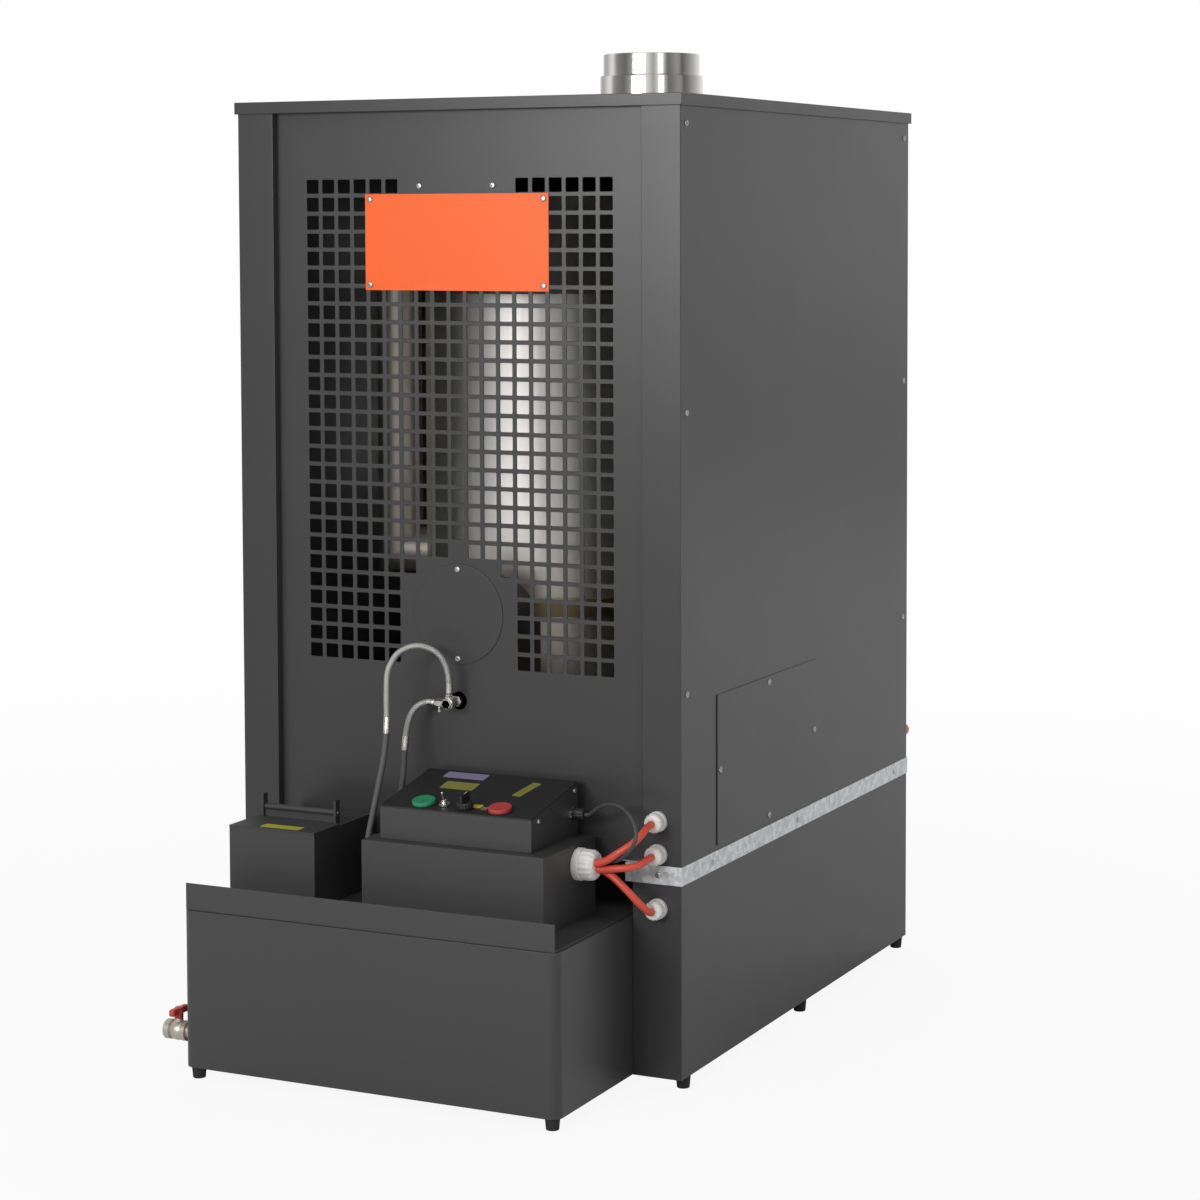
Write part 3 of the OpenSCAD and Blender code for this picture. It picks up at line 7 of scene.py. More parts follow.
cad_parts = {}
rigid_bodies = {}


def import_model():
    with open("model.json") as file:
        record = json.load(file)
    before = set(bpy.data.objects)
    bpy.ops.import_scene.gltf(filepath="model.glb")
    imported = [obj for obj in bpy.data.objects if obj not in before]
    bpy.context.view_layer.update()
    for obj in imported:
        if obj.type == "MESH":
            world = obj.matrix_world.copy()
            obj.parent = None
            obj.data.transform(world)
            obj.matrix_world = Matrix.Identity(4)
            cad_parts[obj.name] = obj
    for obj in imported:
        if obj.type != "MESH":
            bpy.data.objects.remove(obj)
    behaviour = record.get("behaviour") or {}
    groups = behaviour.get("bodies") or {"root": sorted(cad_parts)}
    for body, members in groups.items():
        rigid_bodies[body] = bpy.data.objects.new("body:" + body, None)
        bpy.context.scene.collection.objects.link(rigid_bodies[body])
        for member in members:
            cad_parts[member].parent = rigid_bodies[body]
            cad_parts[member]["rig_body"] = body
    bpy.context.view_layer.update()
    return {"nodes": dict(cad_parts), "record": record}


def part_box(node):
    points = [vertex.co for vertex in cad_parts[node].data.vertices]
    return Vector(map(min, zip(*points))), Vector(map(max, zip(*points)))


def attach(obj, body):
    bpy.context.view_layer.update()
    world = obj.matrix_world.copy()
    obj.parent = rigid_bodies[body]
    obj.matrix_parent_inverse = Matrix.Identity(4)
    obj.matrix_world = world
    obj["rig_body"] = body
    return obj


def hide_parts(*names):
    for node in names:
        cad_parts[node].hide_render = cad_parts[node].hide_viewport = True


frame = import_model()

# Camera, floor and light
# The camera stands in front and to the right, a little under the lid, with a long lens.
# Floor and surroundings are white. One soft panel lights the front from the left, weak
# ones beside it are there for the steel to mirror, and broad ones light side and back.
photo_width, focal_pixels, shift_pixels = 1200, 2906, 200
turned_left, tipped_down, rolled = 25.779, 3.555, -0.185
camera = bpy.data.objects.new("camera", bpy.data.cameras.new("camera"))
camera.data.sensor_width = 36
camera.data.lens = 36 * focal_pixels / photo_width
camera.data.shift_y = -shift_pixels / photo_width
camera.data.clip_end = 60
camera.matrix_world = (Matrix.Translation((1.506, -3.046, 0.921))
                       @ Matrix.Rotation(radians(turned_left), 4, "Z")
                       @ Matrix.Rotation(radians(90 - tipped_down), 4, "X")
                       @ Matrix.Rotation(radians(rolled), 4, "Z"))
bpy.context.scene.collection.objects.link(camera)
bpy.context.scene.camera = camera
bpy.context.scene.view_settings.view_transform = "Standard"


class Look:
    """One socket in a material; plain arithmetic on it adds Math nodes."""
    def __init__(self, tree, out=None):
        self.tree, self.out = tree, out

    def make(self, kind, settings={}, sockets={}, out=0):
        node = self.tree.nodes.new(kind)
        for key, value in settings.items():
            if key == "stops":
                ramp = node.color_ramp.elements
                while len(ramp) < len(value):
                    ramp.new(1)
                for stop, (place, colour) in zip(ramp, value):
                    stop.position, stop.color = place, colour
            else:
                setattr(node, key, value)
        for key, value in sockets.items():
            if isinstance(value, Look):
                self.tree.links.new(value.out, node.inputs[key])
            else:
                node.inputs[key].default_value = value
        return Look(self.tree, node.outputs[out] if len(node.outputs) else None)

    def maths(self, operation, first, second=0.0):
        return self.make("ShaderNodeMath", {"operation": operation}, {0: first, 1: second})

    def __add__(self, other):
        return self.maths("ADD", self, other)

    def __sub__(self, other):
        return self.maths("SUBTRACT", self, other)

    def __rsub__(self, other):
        return self.maths("SUBTRACT", other, self)

    def __mul__(self, other):
        return self.maths("MULTIPLY", self, other)

    def __truediv__(self, other):
        return self.maths("DIVIDE", self, other)

    __radd__, __rmul__ = __add__, __mul__


def new_look(name):
    material = bpy.data.materials.new(name)
    material.use_nodes = True
    material.node_tree.nodes.clear()
    return material, Look(material.node_tree)


def ray(look, kind):
    return look.make("ShaderNodeLightPath", out="Is %s Ray" % kind)


# the floor holds a soft shadow near the object and is plain white further out
near, fade = 0.9, 2.2
stage_white, look = new_look("stage_white")
spot = look.make("ShaderNodeTexCoord", out="Object")
distance = look.make("ShaderNodeVectorMath", {"operation": "LENGTH"}, {0: spot}, out=1)
far = look.maths("MINIMUM", look.maths("MAXIMUM", (distance - near) / fade, 0.0), 1.0)
plain = look.make("ShaderNodeBsdfDiffuse", {}, {"Color": (0.80, 0.80, 0.80, 1)})
white = look.make("ShaderNodeEmission", {}, {"Color": (1, 1, 1, 1), "Strength": 1.0})
shown = (ray(look, "Camera") + ray(look, "Transmission")) * (0.91 + far * 0.09) + ray(look, "Glossy") * 0.06
shown = look.make("ShaderNodeMixShader", {}, {0: shown, 1: plain, 2: white})
look.make("ShaderNodeOutputMaterial", {}, {"Surface": shown})
floor_mesh = bpy.data.meshes.new("floor")
floor_mesh.from_pydata([(-15, -15, 0), (15, -15, 0), (15, 15, 0), (-15, 15, 0)], [], [(0, 1, 2, 3)])
floor_mesh.materials.append(stage_white)
floor = bpy.data.objects.new("floor", floor_mesh)
bpy.context.scene.collection.objects.link(floor)

# the studio is white to the eye; polished metal mirrors its darker curtains and doorways,
# given as (angle round the room in degrees, brightness)
walls = [(0, 1.0), (10, 1.0), (20, 0.42), (30, 0.28), (50, 0.2), (66, 0.42), (80, 0.9), (90, 1.0), (104, 1.0),
         (112, 0.75), (119, 0.5), (128, 0.85), (136, 1.0), (144, 0.7), (153, 0.2), (165, 0.28), (178, 0.4),
         (186, 0.34), (192, 0.15), (204, 0.25), (216, 0.4), (236, 0.62), (262, 0.95), (300, 0.8), (330, 0.5),
         (345, 0.6), (360, 1.0)]
world = bpy.data.worlds.new("studio")
world.use_nodes = True
world.node_tree.nodes.clear()
look = Look(world.node_tree)
ahead = look.make("ShaderNodeTexCoord", out="Generated")
east, north = (look.make("ShaderNodeSeparateXYZ", {}, {0: ahead}, out=k) for k in (0, 1))
turn = look.maths("ARCTAN2", north, east) / (2 * pi) + 0.5
stops = [(angle / 360, (tone, tone, tone, 1)) for angle, tone in walls]
mirrored = look.make("ShaderNodeValToRGB", {"stops": stops}, {0: turn})
dark = look.make("ShaderNodeBackground", {}, {"Color": (1, 1, 1, 1), "Strength": 0.0})
white = look.make("ShaderNodeBackground", {}, {"Color": (1, 1, 1, 1), "Strength": 1.0})
straight = ray(look, "Camera") + ray(look, "Transmission")
shown = straight + ray(look, "Glossy") * mirrored + (1 - straight - ray(look, "Glossy")) * 0.3
shown = look.make("ShaderNodeMixShader", {}, {0: shown, 1: dark, 2: white})
look.make("ShaderNodeOutputWorld", {}, {"Surface": shown})
bpy.context.scene.world = world


def soft_box(name, place, target, size, power, mirrored=False):
    lamp = bpy.data.lights.new(name, "AREA")
    lamp.shape, lamp.size, lamp.size_y, lamp.energy = "RECTANGLE", size[0], size[1], power
    box = bpy.data.objects.new(name, lamp)
    box.location = place
    box.rotation_euler = (Vector(target) - Vector(place)).to_track_quat("-Z", "Y").to_euler()
    box.visible_glossy = mirrored
    bpy.context.scene.collection.objects.link(box)


soft_box("window_panel", (-0.5, -3.05, 1.25), (-0.3, 0, 1.15), (1.2, 0.7), 36, True)
soft_box("top_light", (0.5, -1.4, 2.7), (0.1, -0.1, 0.9), (1.8, 1.0), 8)
soft_box("window_right", (0.35, -3.05, 1.25), (0, 0, 1.1), (0.5, 0.7), 3.5, True)
soft_box("door_panel", (3.1, -2.75, 1.25), (0, 0, 1.0), (0.8, 0.9), 6, True)
soft_box("side_light", (3.8, 4.0, 1.2), (0.2, 0, 0.5), (3.0, 2.2), 122)
soft_box("back_light", (-1.2, 3.2, 2.4), (0, 0.2, 0.8), (2.0, 1.6), 45)

# Fuel hoses
# Two 8 mm hoses carry fuel from the pump box and the tray to the fitting in the front panel.
# Near the hot front they are sleeved in woven steel wire; below that the rubber is bare.
front = -0.294
hose_long_points = [
    (0, -12, 408), (0, -12, 420), (-1.5, -14, 437), (-10, -20, 454), (-28.5, -28, 461.5), (-47, -36, 455),
    (-57, -43, 437), (-57.5, -47, 411), (-56, -50, 379), (-55, -58, 345), (-55, -70, 316), (-55, -82, 288),
    (-57, -90, 260), (-58, -92, 230), (-58, -92, 196)]
hose_short_points = [
    (-17, -12, 398), (-27, -12, 398), (-38, -14, 393), (-46, -15, 383), (-50.5, -16, 367), (-52, -18, 349),
    (-51, -24, 319), (-54, -28, 282), (-56, -36, 246), (-56, -40, 218), (-56, -40, 206)]
ferrule_radius, braid_radius, rubber_radius = 0.0039, 0.0036, 0.0034
ferrule_length, crimp_reach = 0.011, 0.008


def smooth_path(points, step):
    """Even points on one smooth curve through points given in mm behind the post faces."""
    knots = [Vector((x / 1000, y / 1000 + front, z / 1000)) for x, y, z in points]
    knots = [2 * knots[0] - knots[1]] + knots + [2 * knots[-1] - knots[-2]]
    path = []
    for a, b, c, d in zip(knots, knots[1:], knots[2:], knots[3:]):
        # centripetal spacing keeps long and short spans free of kinks
        t = [0.0]
        for p, q in ((a, b), (b, c), (c, d)):
            t.append(t[-1] + max((q - p).length, 1e-6) ** 0.5)
        count = max(2, ceil((c - b).length / step))
        for k in range(count):
            s = t[1] + (t[2] - t[1]) * k / count
            a1 = a.lerp(b, (s - t[0]) / (t[1] - t[0]))
            a2 = b.lerp(c, (s - t[1]) / (t[2] - t[1]))
            a3 = c.lerp(d, (s - t[2]) / (t[3] - t[2]))
            b1 = a1.lerp(a2, (s - t[0]) / (t[2] - t[0]))
            b2 = a2.lerp(a3, (s - t[1]) / (t[3] - t[1]))
            path.append(b1.lerp(b2, (s - t[1]) / (t[2] - t[1])))
    path.append(knots[-2])
    return path


def as_piece(name, mesh, *materials, body=None, crisp=None, even=False):
    """Scene object from a finished mesh; edges past crisp degrees stay sharp."""
    data = bpy.data.meshes.new(name)
    mesh.to_mesh(data)
    mesh.free()
    if crisp:
        data.set_sharp_from_angle(angle=radians(crisp))
    for material in materials:
        data.materials.append(material)
    piece = bpy.data.objects.new(name, data)
    bpy.context.scene.collection.objects.link(piece)
    if even:
        piece.modifiers.new("even_shading", "WEIGHTED_NORMAL").keep_sharp = True
    if body:
        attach(piece, body)
    return piece


def tube(name, path, radius, *materials, sides=20, slots=lambda run: 0, closed=False):
    """Round tube on a path. radius is a number or a function of the run; UV is turns by metres."""
    mesh = bmesh.new()
    uv = mesh.loops.layers.uv.new("wrap")
    path = [Vector(place) for place in path]
    total = sum((b - a).length for a, b in zip(path, path[1:]))
    turns = [2 * pi * k / sides for k in range(sides)]
    run, rings, runs = 0.0, [], []
    normal = None
    for i, place in enumerate(path):
        ahead = path[(i + 1) % len(path)] if closed or i + 1 < len(path) else place
        behind = path[i - 1] if closed or i else place
        along = (ahead - behind).normalized()
        if normal is None:
            normal = along.orthogonal().normalized()
        normal = (normal - along * normal.dot(along)).normalized()
        other = along.cross(normal)
        run += (place - path[i - 1]).length if i else 0
        size = radius(run) if callable(radius) else radius
        rings.append([mesh.verts.new(place + size * (cos(a) * normal + sin(a) * other)) for a in turns])
        runs.append(run)
    pairs = list(zip(range(len(rings) - 1), range(1, len(rings)))) + ([(len(rings) - 1, 0)] if closed else [])
    for i, j in pairs:
        for k in range(sides):
            n = (k + 1) % sides
            face = mesh.faces.new((rings[i][k], rings[i][n], rings[j][n], rings[j][k]))
            face.smooth = True
            face.material_index = slots((runs[i] + runs[j]) / 2)
            far = runs[j] if j else total
            for loop, spot in zip(face.loops, ((k, runs[i]), (k + 1, runs[i]), (k + 1, far), (k, far))):
                loop[uv].uv = (spot[0] / sides, spot[1])
    if not closed:
        mesh.faces.new(rings[0][::-1]).material_index = slots(0)
        mesh.faces.new(rings[-1]).material_index = slots(total)
    return as_piece(name, mesh, *materials)


def surface(look, **sockets):
    """Principled shader on the material's output."""
    names = {key.replace("_", " ").title(): value for key, value in sockets.items()}
    shader = look.make("ShaderNodeBsdfPrincipled", {}, names)
    look.make("ShaderNodeOutputMaterial", {}, {"Surface": shader})


def grain(look, size, detail=2.0, stretch=(1, 1, 1)):
    """Noise from 0 to 1 whose features are about size metres, in the object's own space."""
    place = look.make("ShaderNodeTexCoord", out="Object")
    place = look.make("ShaderNodeVectorMath", {"operation": "MULTIPLY"}, {0: place, 1: stretch})
    return look.make("ShaderNodeTexNoise", {}, {"Vector": place, "Scale": 1 / size, "Detail": detail})


def shade(colour):
    """Screen colour from 0 to 255, as the linear colour that a shader takes."""
    return tuple(((c / 255 + 0.055) / 1.055) ** 2.4 for c in colour) + (1.0,)


def tint(look, amount, low, high):
    """Blend of two screen colours by a number."""
    return look.make("ShaderNodeMix", {"data_type": "RGBA", "blend_type": "MIX"},
                     {0: amount, 6: shade(low), 7: shade(high)}, out=2)


def relief(look, height, depth, strength=1.0):
    return look.make("ShaderNodeBump", {}, {"Height": height, "Distance": depth, "Strength": strength})


def finish(name, low, high, drift, rough, bump=0.0, pores=None, strength=1.0, **more):
    """Material whose shade and roughness (least, spread) follow the noise drift (size, detail).
    Its relief, bump metres deep, follows the same noise or a finer one, pores."""
    material, look = new_look(name)
    field = grain(look, *drift)
    if bump:
        more["normal"] = relief(look, grain(look, *pores) if pores else field, bump, strength)
    surface(look, base_color=tint(look, field, low, high), roughness=rough[0] + field * rough[1], **more)
    return material


strand_pairs, strand_pitch = 8, 0.022
steel_braid, look = new_look("steel_braid")
wrap, run = (look.make("ShaderNodeSeparateXYZ", {}, {0: look.make("ShaderNodeTexCoord", out="UV")}, out=k)
             for k in (0, 1))
around, along = wrap * (2 * pi * strand_pairs), run * (2 * pi * strand_pairs / strand_pitch)
strands = (look.maths("SINE", around + along) * 0.5 + 0.5) * (look.maths("SINE", around - along) * 0.5 + 0.5)
surface(look, base_color=tint(look, strands, (146, 146, 142), (238, 238, 232)), metallic=0.8,
        roughness=0.42 - strands * 0.14, normal=relief(look, strands, 0.0004))
hose_rubber = finish("hose_rubber", (66, 66, 66), (100, 100, 99), (0.0025, 4), (0.5, 0.2), 0.00012)
nickel = finish("nickel", (198, 196, 188), (226, 224, 218), (0.004, 3), (0.2, 0.14), 0.00002, (0.0009, 2),
                metallic=1.0)


def fuel_hose(name, points, braid_end):
    """Hose with crimped steel ends: ferrules stand 0.3 mm out at both ends of the braid."""
    path = smooth_path(points, 0.003)

    def layer(run):
        if run < ferrule_length or abs(run - braid_end) < crimp_reach:
            return 2
        return 0 if run < braid_end else 1

    def thickness(run):
        return (braid_radius, rubber_radius, ferrule_radius)[layer(run)]

    piece = tube(name, path, thickness, steel_braid, hose_rubber, nickel, sides=24, slots=layer)
    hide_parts(name.replace("fuel_", ""))
    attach(piece, "heater")
    length = sum((b - a).length for a, b in zip(path, path[1:]))


fuel_hose("fuel_hose_long", hose_long_points, 0.176)
fuel_hose("fuel_hose_short", hose_short_points, 0.067)

# Silicone cables and the sensor wire
# Three red silicone cables run from the large gland to the glands in the cabinet; a thin
# dark wire loops from the control box. All are soft, so they hang in easy curves.
cable_radius, wire_radius = 0.0039, 0.002
cable_routes = {
    "cable_upper": [
        (195, -53, 250), (199, -53, 250), (208.5, -53.5, 254), (217.5, -53.5, 260), (228, -51, 267),
        (236, -45, 273.5), (240.5, -37, 280), (242.5, -28, 285.5), (243, -19, 288), (243, -16, 288)],
    "cable_middle": [
        (195, -48.5, 242.5), (201, -48.5, 242.5), (216, -49, 245), (228, -47.5, 246.5), (236.5, -42, 248),
        (241.5, -33, 250.5), (243, -21, 253), (243, -16, 253)],
    "cable_lower": [
        (195, -40.5, 239.5), (199, -40.5, 239.5), (209, -42, 235.5), (219, -43, 228.5), (229.5, -42, 219),
        (237, -37, 209), (241.5, -30, 201), (243, -20, 195), (243, -16, 195)],
    "sensor_wire": [
        (168, -22, 293), (172, -22, 293), (183, -24.5, 300.5), (195, -29.5, 306.5), (209, -35.5, 309.5),
        (222, -42, 307.5), (233.5, -48.5, 301.5), (241, -54, 293), (244.5, -57.5, 283), (241.5, -58.5, 273),
        (232, -57, 262.5), (221.5, -50.5, 255), (209.5, -43.5, 250.5), (199, -40, 249), (195, -40, 249)]}
red_silicone = finish("red_silicone", (214, 74, 56), (232, 96, 76), (0.02, 2), (0.42, 0.1), 0.00003,
                      (0.0012, 2), coat_weight=0.12)
dark_wire = finish("dark_wire", (60, 60, 60), (82, 82, 82), (0.006, 3), (0.45, 0.15), 0.00005)
for name, points in cable_routes.items():
    is_wire = name == "sensor_wire"
    thick = wire_radius if is_wire else cable_radius
    path = smooth_path(points, 0.002)
    lead = tube("lead_" + name, path, thick, dark_wire if is_wire else red_silicone)
    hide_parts(name)
    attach(lead, "heater")
    length = sum((b - a).length for a, b in zip(path, path[1:]))
    2 * thick

# Powder-coated casing
# Folded 1.5 mm steel sheet: skirt, side panels, lid, covers, tank and tray. The dark grey
# powder coat is satin with a fine orange peel; pressed edges are slightly round.
fold_angle = 30


def pressed(node, width, material, body="heater"):
    """Copy of a CAD solid whose sharp edges are rounded as the press leaves them."""
    mesh = bmesh.new()
    mesh.from_mesh(frame["nodes"][node].data)
    for layer in list(mesh.loops.layers.uv):
        mesh.loops.layers.uv.remove(layer)
    bmesh.ops.remove_doubles(mesh, verts=mesh.verts, dist=1e-5)
    bmesh.ops.dissolve_limit(mesh, angle_limit=radians(0.6), verts=mesh.verts, edges=mesh.edges)
    folds = [e for e in mesh.edges if len(e.link_faces) == 2 and e.calc_face_angle(0) > radians(fold_angle)]
    bmesh.ops.bevel(mesh, geom=folds, offset=width, offset_type="OFFSET", segments=2, profile=0.5,
                    affect="EDGES", clamp_overlap=True)
    for face in mesh.faces:
        face.smooth = True
    piece = as_piece(node + "_formed", mesh, material, crisp=50, even=True)
    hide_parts(node)
    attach(piece, body)
    next(s["material_slot"] for s in frame["record"]["subparts"] if s["node"] == node)


def powder(name, tone, spread=2, rough=0.31):
    """Satin powder coat of one grey tone: drifting shade, fine peel and faint handling marks."""
    material, look = new_look(name)
    drift, peel, rubbed = (grain(look, size, 2) for size in (0.35, 0.0016, 0.12))
    surface(look, base_color=tint(look, drift, [c - spread for c in tone], [c + spread for c in tone]),
            roughness=rough + rubbed * 0.06, normal=relief(look, peel, 0.00006, 0.6))
    return material


casing_coat = powder("casing_coat", (58, 58, 59))
for node in ("base_casing", "side_panel_left", "side_panel_right", "rear_panel", "top_lid", "access_cover",
             "port_cover"):
    pressed(node, 0.0006, casing_coat)
tank_coat = powder("tank_coat", (66, 66, 67))
pressed("fuel_tank", 0.0009, tank_coat)
pressed("drip_tray", 0.0006, tank_coat)

# Front panel
# The panel is punched with rows of 15 mm square holes whose corners are slightly round.
# The top middle and the ground round the port cover are left plain.
panel_low, panel_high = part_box("front_grille_panel")
hole, hole_corner, burr = 0.0150, 0.0012, 0.00035
columns, rows, first_column, first_row, pitch_x, pitch_z = 19, 27, -0.190, 0.958, 0.0200, 0.0198
plain_half, port_z, sight_z, fitting_z = 0.070, 0.493, 0.480, 0.398


def is_plain(x, z, row):
    if abs(x) >= plain_half:
        return False
    return row == 0 or z < port_z or hypot(x, z - port_z) < plain_half


def round_corners(half_x, half_y, corner, steps, cx=0.0, cy=0.0):
    """Outline of a rectangle with round corners, steps flats to a corner."""
    spots = []
    for sx, sy, start in ((1, 1, 0), (-1, 1, 90), (-1, -1, 180), (1, -1, 270)):
        for k in range(steps + 1):
            a = radians(start + 90 * k / steps)
            spots.append((cx + sx * (half_x - corner) + corner * cos(a),
                          cy + sy * (half_y - corner) + corner * sin(a)))
    return spots


def bridge(mesh, low, high):
    """Faces between two rings of as many points."""
    n = len(low)
    return [mesh.faces.new((low[k], low[(k + 1) % n], high[(k + 1) % n], high[k])) for k in range(n)]


def punched_panel():
    """Flat cells with a rounded square hole each, plain cells between, walls through the sheet."""
    mesh = bmesh.new()
    y0, y1 = panel_low.y, panel_high.y
    xs = [panel_low.x] + [first_column + pitch_x * k for k in range(columns + 1)] + [panel_high.x]
    zs = [panel_high.z] + [first_row + pitch_z / 2 - pitch_z * k for k in range(rows + 1)] + [panel_low.z]
    known = {}

    def vert(x, y, z):
        key = (round(x, 6), round(y, 6), round(z, 6))
        if key not in known:
            known[key] = mesh.verts.new((x, y, z))
        return known[key]

    def ring_faces(outer, inner):
        n = len(inner)
        for k in range(n):
            quad = [outer[k], outer[(k + 1) % n], inner[(k + 1) % n], inner[k]]
            unique = [v for i, v in enumerate(quad) if v not in quad[:i]]
            if len(unique) > 2:
                mesh.faces.new(unique)

    holes = []
    for i in range(len(xs) - 1):
        for j in range(len(zs) - 1):
            x_a, x_b, z_a, z_b = xs[i], xs[i + 1], zs[j + 1], zs[j]
            row, column = j - 1, i - 1
            cx, cz = (x_a + x_b) / 2, (z_a + z_b) / 2
            corners = [(x_b, z_b), (x_a, z_b), (x_a, z_a), (x_b, z_a)]
            if 0 <= row < rows and 0 <= column < columns and not is_plain(cx, cz, row):
                outer = [corners[k // 4] for k in range(16)]
                face_loop = round_corners(hole / 2 + burr, hole / 2 + burr, hole_corner + burr, 3, cx, cz)
                wall_loop = round_corners(hole / 2, hole / 2, hole_corner, 3, cx, cz)
                for y, inward in ((y0, burr), (y1, -burr)):
                    edge = [vert(x, y, z) for x, z in outer]
                    rim = [vert(x, y, z) for x, z in face_loop]
                    wall = [vert(x, y + inward, z) for x, z in wall_loop]
                    if inward < 0:
                        edge, rim, wall = edge[::-1], rim[::-1], wall[::-1]
                    ring_faces(edge, rim)
                    ring_faces(rim, wall)
                holes.append(wall_loop)
            else:
                for y, order in ((y0, 1), (y1, -1)):
                    mesh.faces.new([vert(x, y, z) for x, z in corners][::order])
    for spots in holes:
        bridge(mesh, [vert(x, y0 + burr, z) for x, z in spots], [vert(x, y1 - burr, z) for x, z in spots])
    for edge in [e for e in mesh.edges if len(e.link_faces) == 1]:
        a, b = edge.verts
        if a.co.y < (y0 + y1) / 2 and b.co.y < (y0 + y1) / 2:
            mesh.faces.new((a, b, vert(b.co.x, y1, b.co.z), vert(a.co.x, y1, a.co.z)))
    bmesh.ops.recalc_face_normals(mesh, faces=mesh.faces)
    return as_piece("punched_front_panel", mesh)


grille = punched_panel()
cutters = [tube("cutter", [(0, panel_low.y - 0.01, z), (0, panel_high.y + 0.01, z)], radius, sides=sides)
           for z, radius, sides in ((fitting_z, 0.010, 48), (sight_z, 0.030, 64))]
for cutter in cutters:
    punch = grille.modifiers.new("punch", "BOOLEAN")
    punch.operation, punch.object, punch.solver = "DIFFERENCE", cutter, "EXACT"
cut = bpy.data.meshes.new_from_object(grille.evaluated_get(bpy.context.evaluated_depsgraph_get()))
grille.modifiers.clear()
grille.data = cut
for cutter in cutters:
    bpy.data.objects.remove(cutter)
grille.data.materials.clear()
grille.data.materials.append(casing_coat)
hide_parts("front_grille_panel")
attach(grille, "heater")

# Orange name plate
# A bare orange sheet plate covers the middle of the grille, held by a screw in each corner.
# The coat is satin and hardly changes over the plate.
orange_coat = finish("orange_coat", (254, 98, 14), (255, 104, 20), (0.08, 3), (0.38, 0.08), 0.00004,
                     (0.0014, 2), 0.5)
pressed("label_plate", 0.0004, orange_coat)

# Galvanised deck
# The burner deck is hot-dip galvanised sheet. Its edge shows as a bright strip with zinc
# spangles between skirt and side panels, held by rivets. The fan ring is of the same sheet.
zinc, look = new_look("galvanised_zinc")
place = look.make("ShaderNodeTexCoord", out="Object")
spangles = look.make("ShaderNodeTexVoronoi", {"feature": "F1"}, {"Vector": place, "Scale": 170}, out="Color")
spangles = look.make("ShaderNodeSeparateXYZ", {}, {0: spangles})
streak = grain(look, 0.03, 4, (1, 1, 4))
surface(look, base_color=tint(look, spangles, (190, 196, 199), (228, 233, 235)), metallic=0.5,
        roughness=0.34 + spangles * 0.12 + streak * 0.08, normal=relief(look, spangles, 0.00003))
for node in ("burner_deck", "fan_ring"):
    pressed(node, 0.0005, zinc)

# Filler box, pump box and control box
# Three small welded boxes on the tray, in a flatter coat of the same grey, and the sloping
# control plate in near black. The filler flap swings on a steel pin between two lugs.
box_coat = powder("box_coat", (60, 60, 61), 4, 0.5)
desk_coat = powder("desk_coat", (36, 36, 37), 3, 0.44)
for node in ("filler_box", "pump_box", "control_box"):
    pressed(node, 0.0006, box_coat)
pressed("control_panel", 0.0005, desk_coat)
pressed("filler_lid", 0.0005, box_coat, "filler_lid")
steel_bright = finish("bright_steel", (168, 168, 166), (208, 208, 205), (0.002, 3), (0.26, 0.14), metallic=1.0)
pressed("filler_hinge_pin", 0.0004, steel_bright)


def sticker(name, material, width, height, placed, body="heater"):
    """Blank self-adhesive label, 0.15 mm thick with round corners."""
    mesh = bmesh.new()
    outline = round_corners(width / 2, height / 2, 0.0015, 4)
    under, over = ([mesh.verts.new((x, y, level)) for x, y in outline] for level in (0.0, 0.00015))
    mesh.faces.new(under[::-1])
    mesh.faces.new(over)
    bridge(mesh, under, over)
    mesh.transform(placed)
    return as_piece(name, mesh, material, body=body)


def film(name, tone):
    """Printed vinyl, slightly uneven and glossier than the coat under it."""
    return finish(name, [c * 0.92 for c in tone], tone, (0.006, 3), (0.36, 0.12))


yellow_film, olive_film = film("yellow_film", (206, 200, 62)), film("olive_film", (150, 146, 70))
lilac_film, tan_film = film("lilac_film", (150, 142, 178)), film("tan_film", (148, 122, 92))
lid_front, lid_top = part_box("filler_lid")[0].y, 0.2685
sticker("filler_sticker", yellow_film, 0.048, 0.015, Matrix.Translation((-0.151, lid_front + 0.014, lid_top)),
        "filler_lid")

# the panel slopes down to the front; x from its middle, v up the slope, h above it
desk_low, desk_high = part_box("control_box")
desk_rise, desk_run, desk_edge_z = 21, 109, 0.3025
desk_frame = (Matrix.Translation(((desk_low.x + desk_high.x) / 2, desk_low.y, desk_edge_z))
              @ Matrix.Rotation(atan2(desk_rise, desk_run), 4, "X"))


def on_desk(x, v, h=0.0):
    return desk_frame @ Matrix.Translation((x / 1000, v / 1000, h / 1000))


sticker("legend_lilac", lilac_film, 0.050, 0.016, on_desk(-38, 98))
sticker("legend_olive", olive_film, 0.040, 0.020, on_desk(-31, 70))
sticker("legend_slim", olive_film, 0.011, 0.040, on_desk(46.5, 76) @ Matrix.Rotation(radians(-10), 4, "Z"))
sticker("legend_yellow", yellow_film, 0.011, 0.009, on_desk(16, 21))
sticker("legend_tan", tan_film, 0.008, 0.008, on_desk(27, 17))

# Buttons, knob and toggle
# Round push buttons sit in ringed bushes, green to start and red to stop. Between them
# are a small chromed toggle in a threaded bush and a dark pointer knob with a white line.
button_x, button_v = 45.5, 16.5
knob_x, knob_v, toggle_x, toggle_v = 6, 13, -20, 15


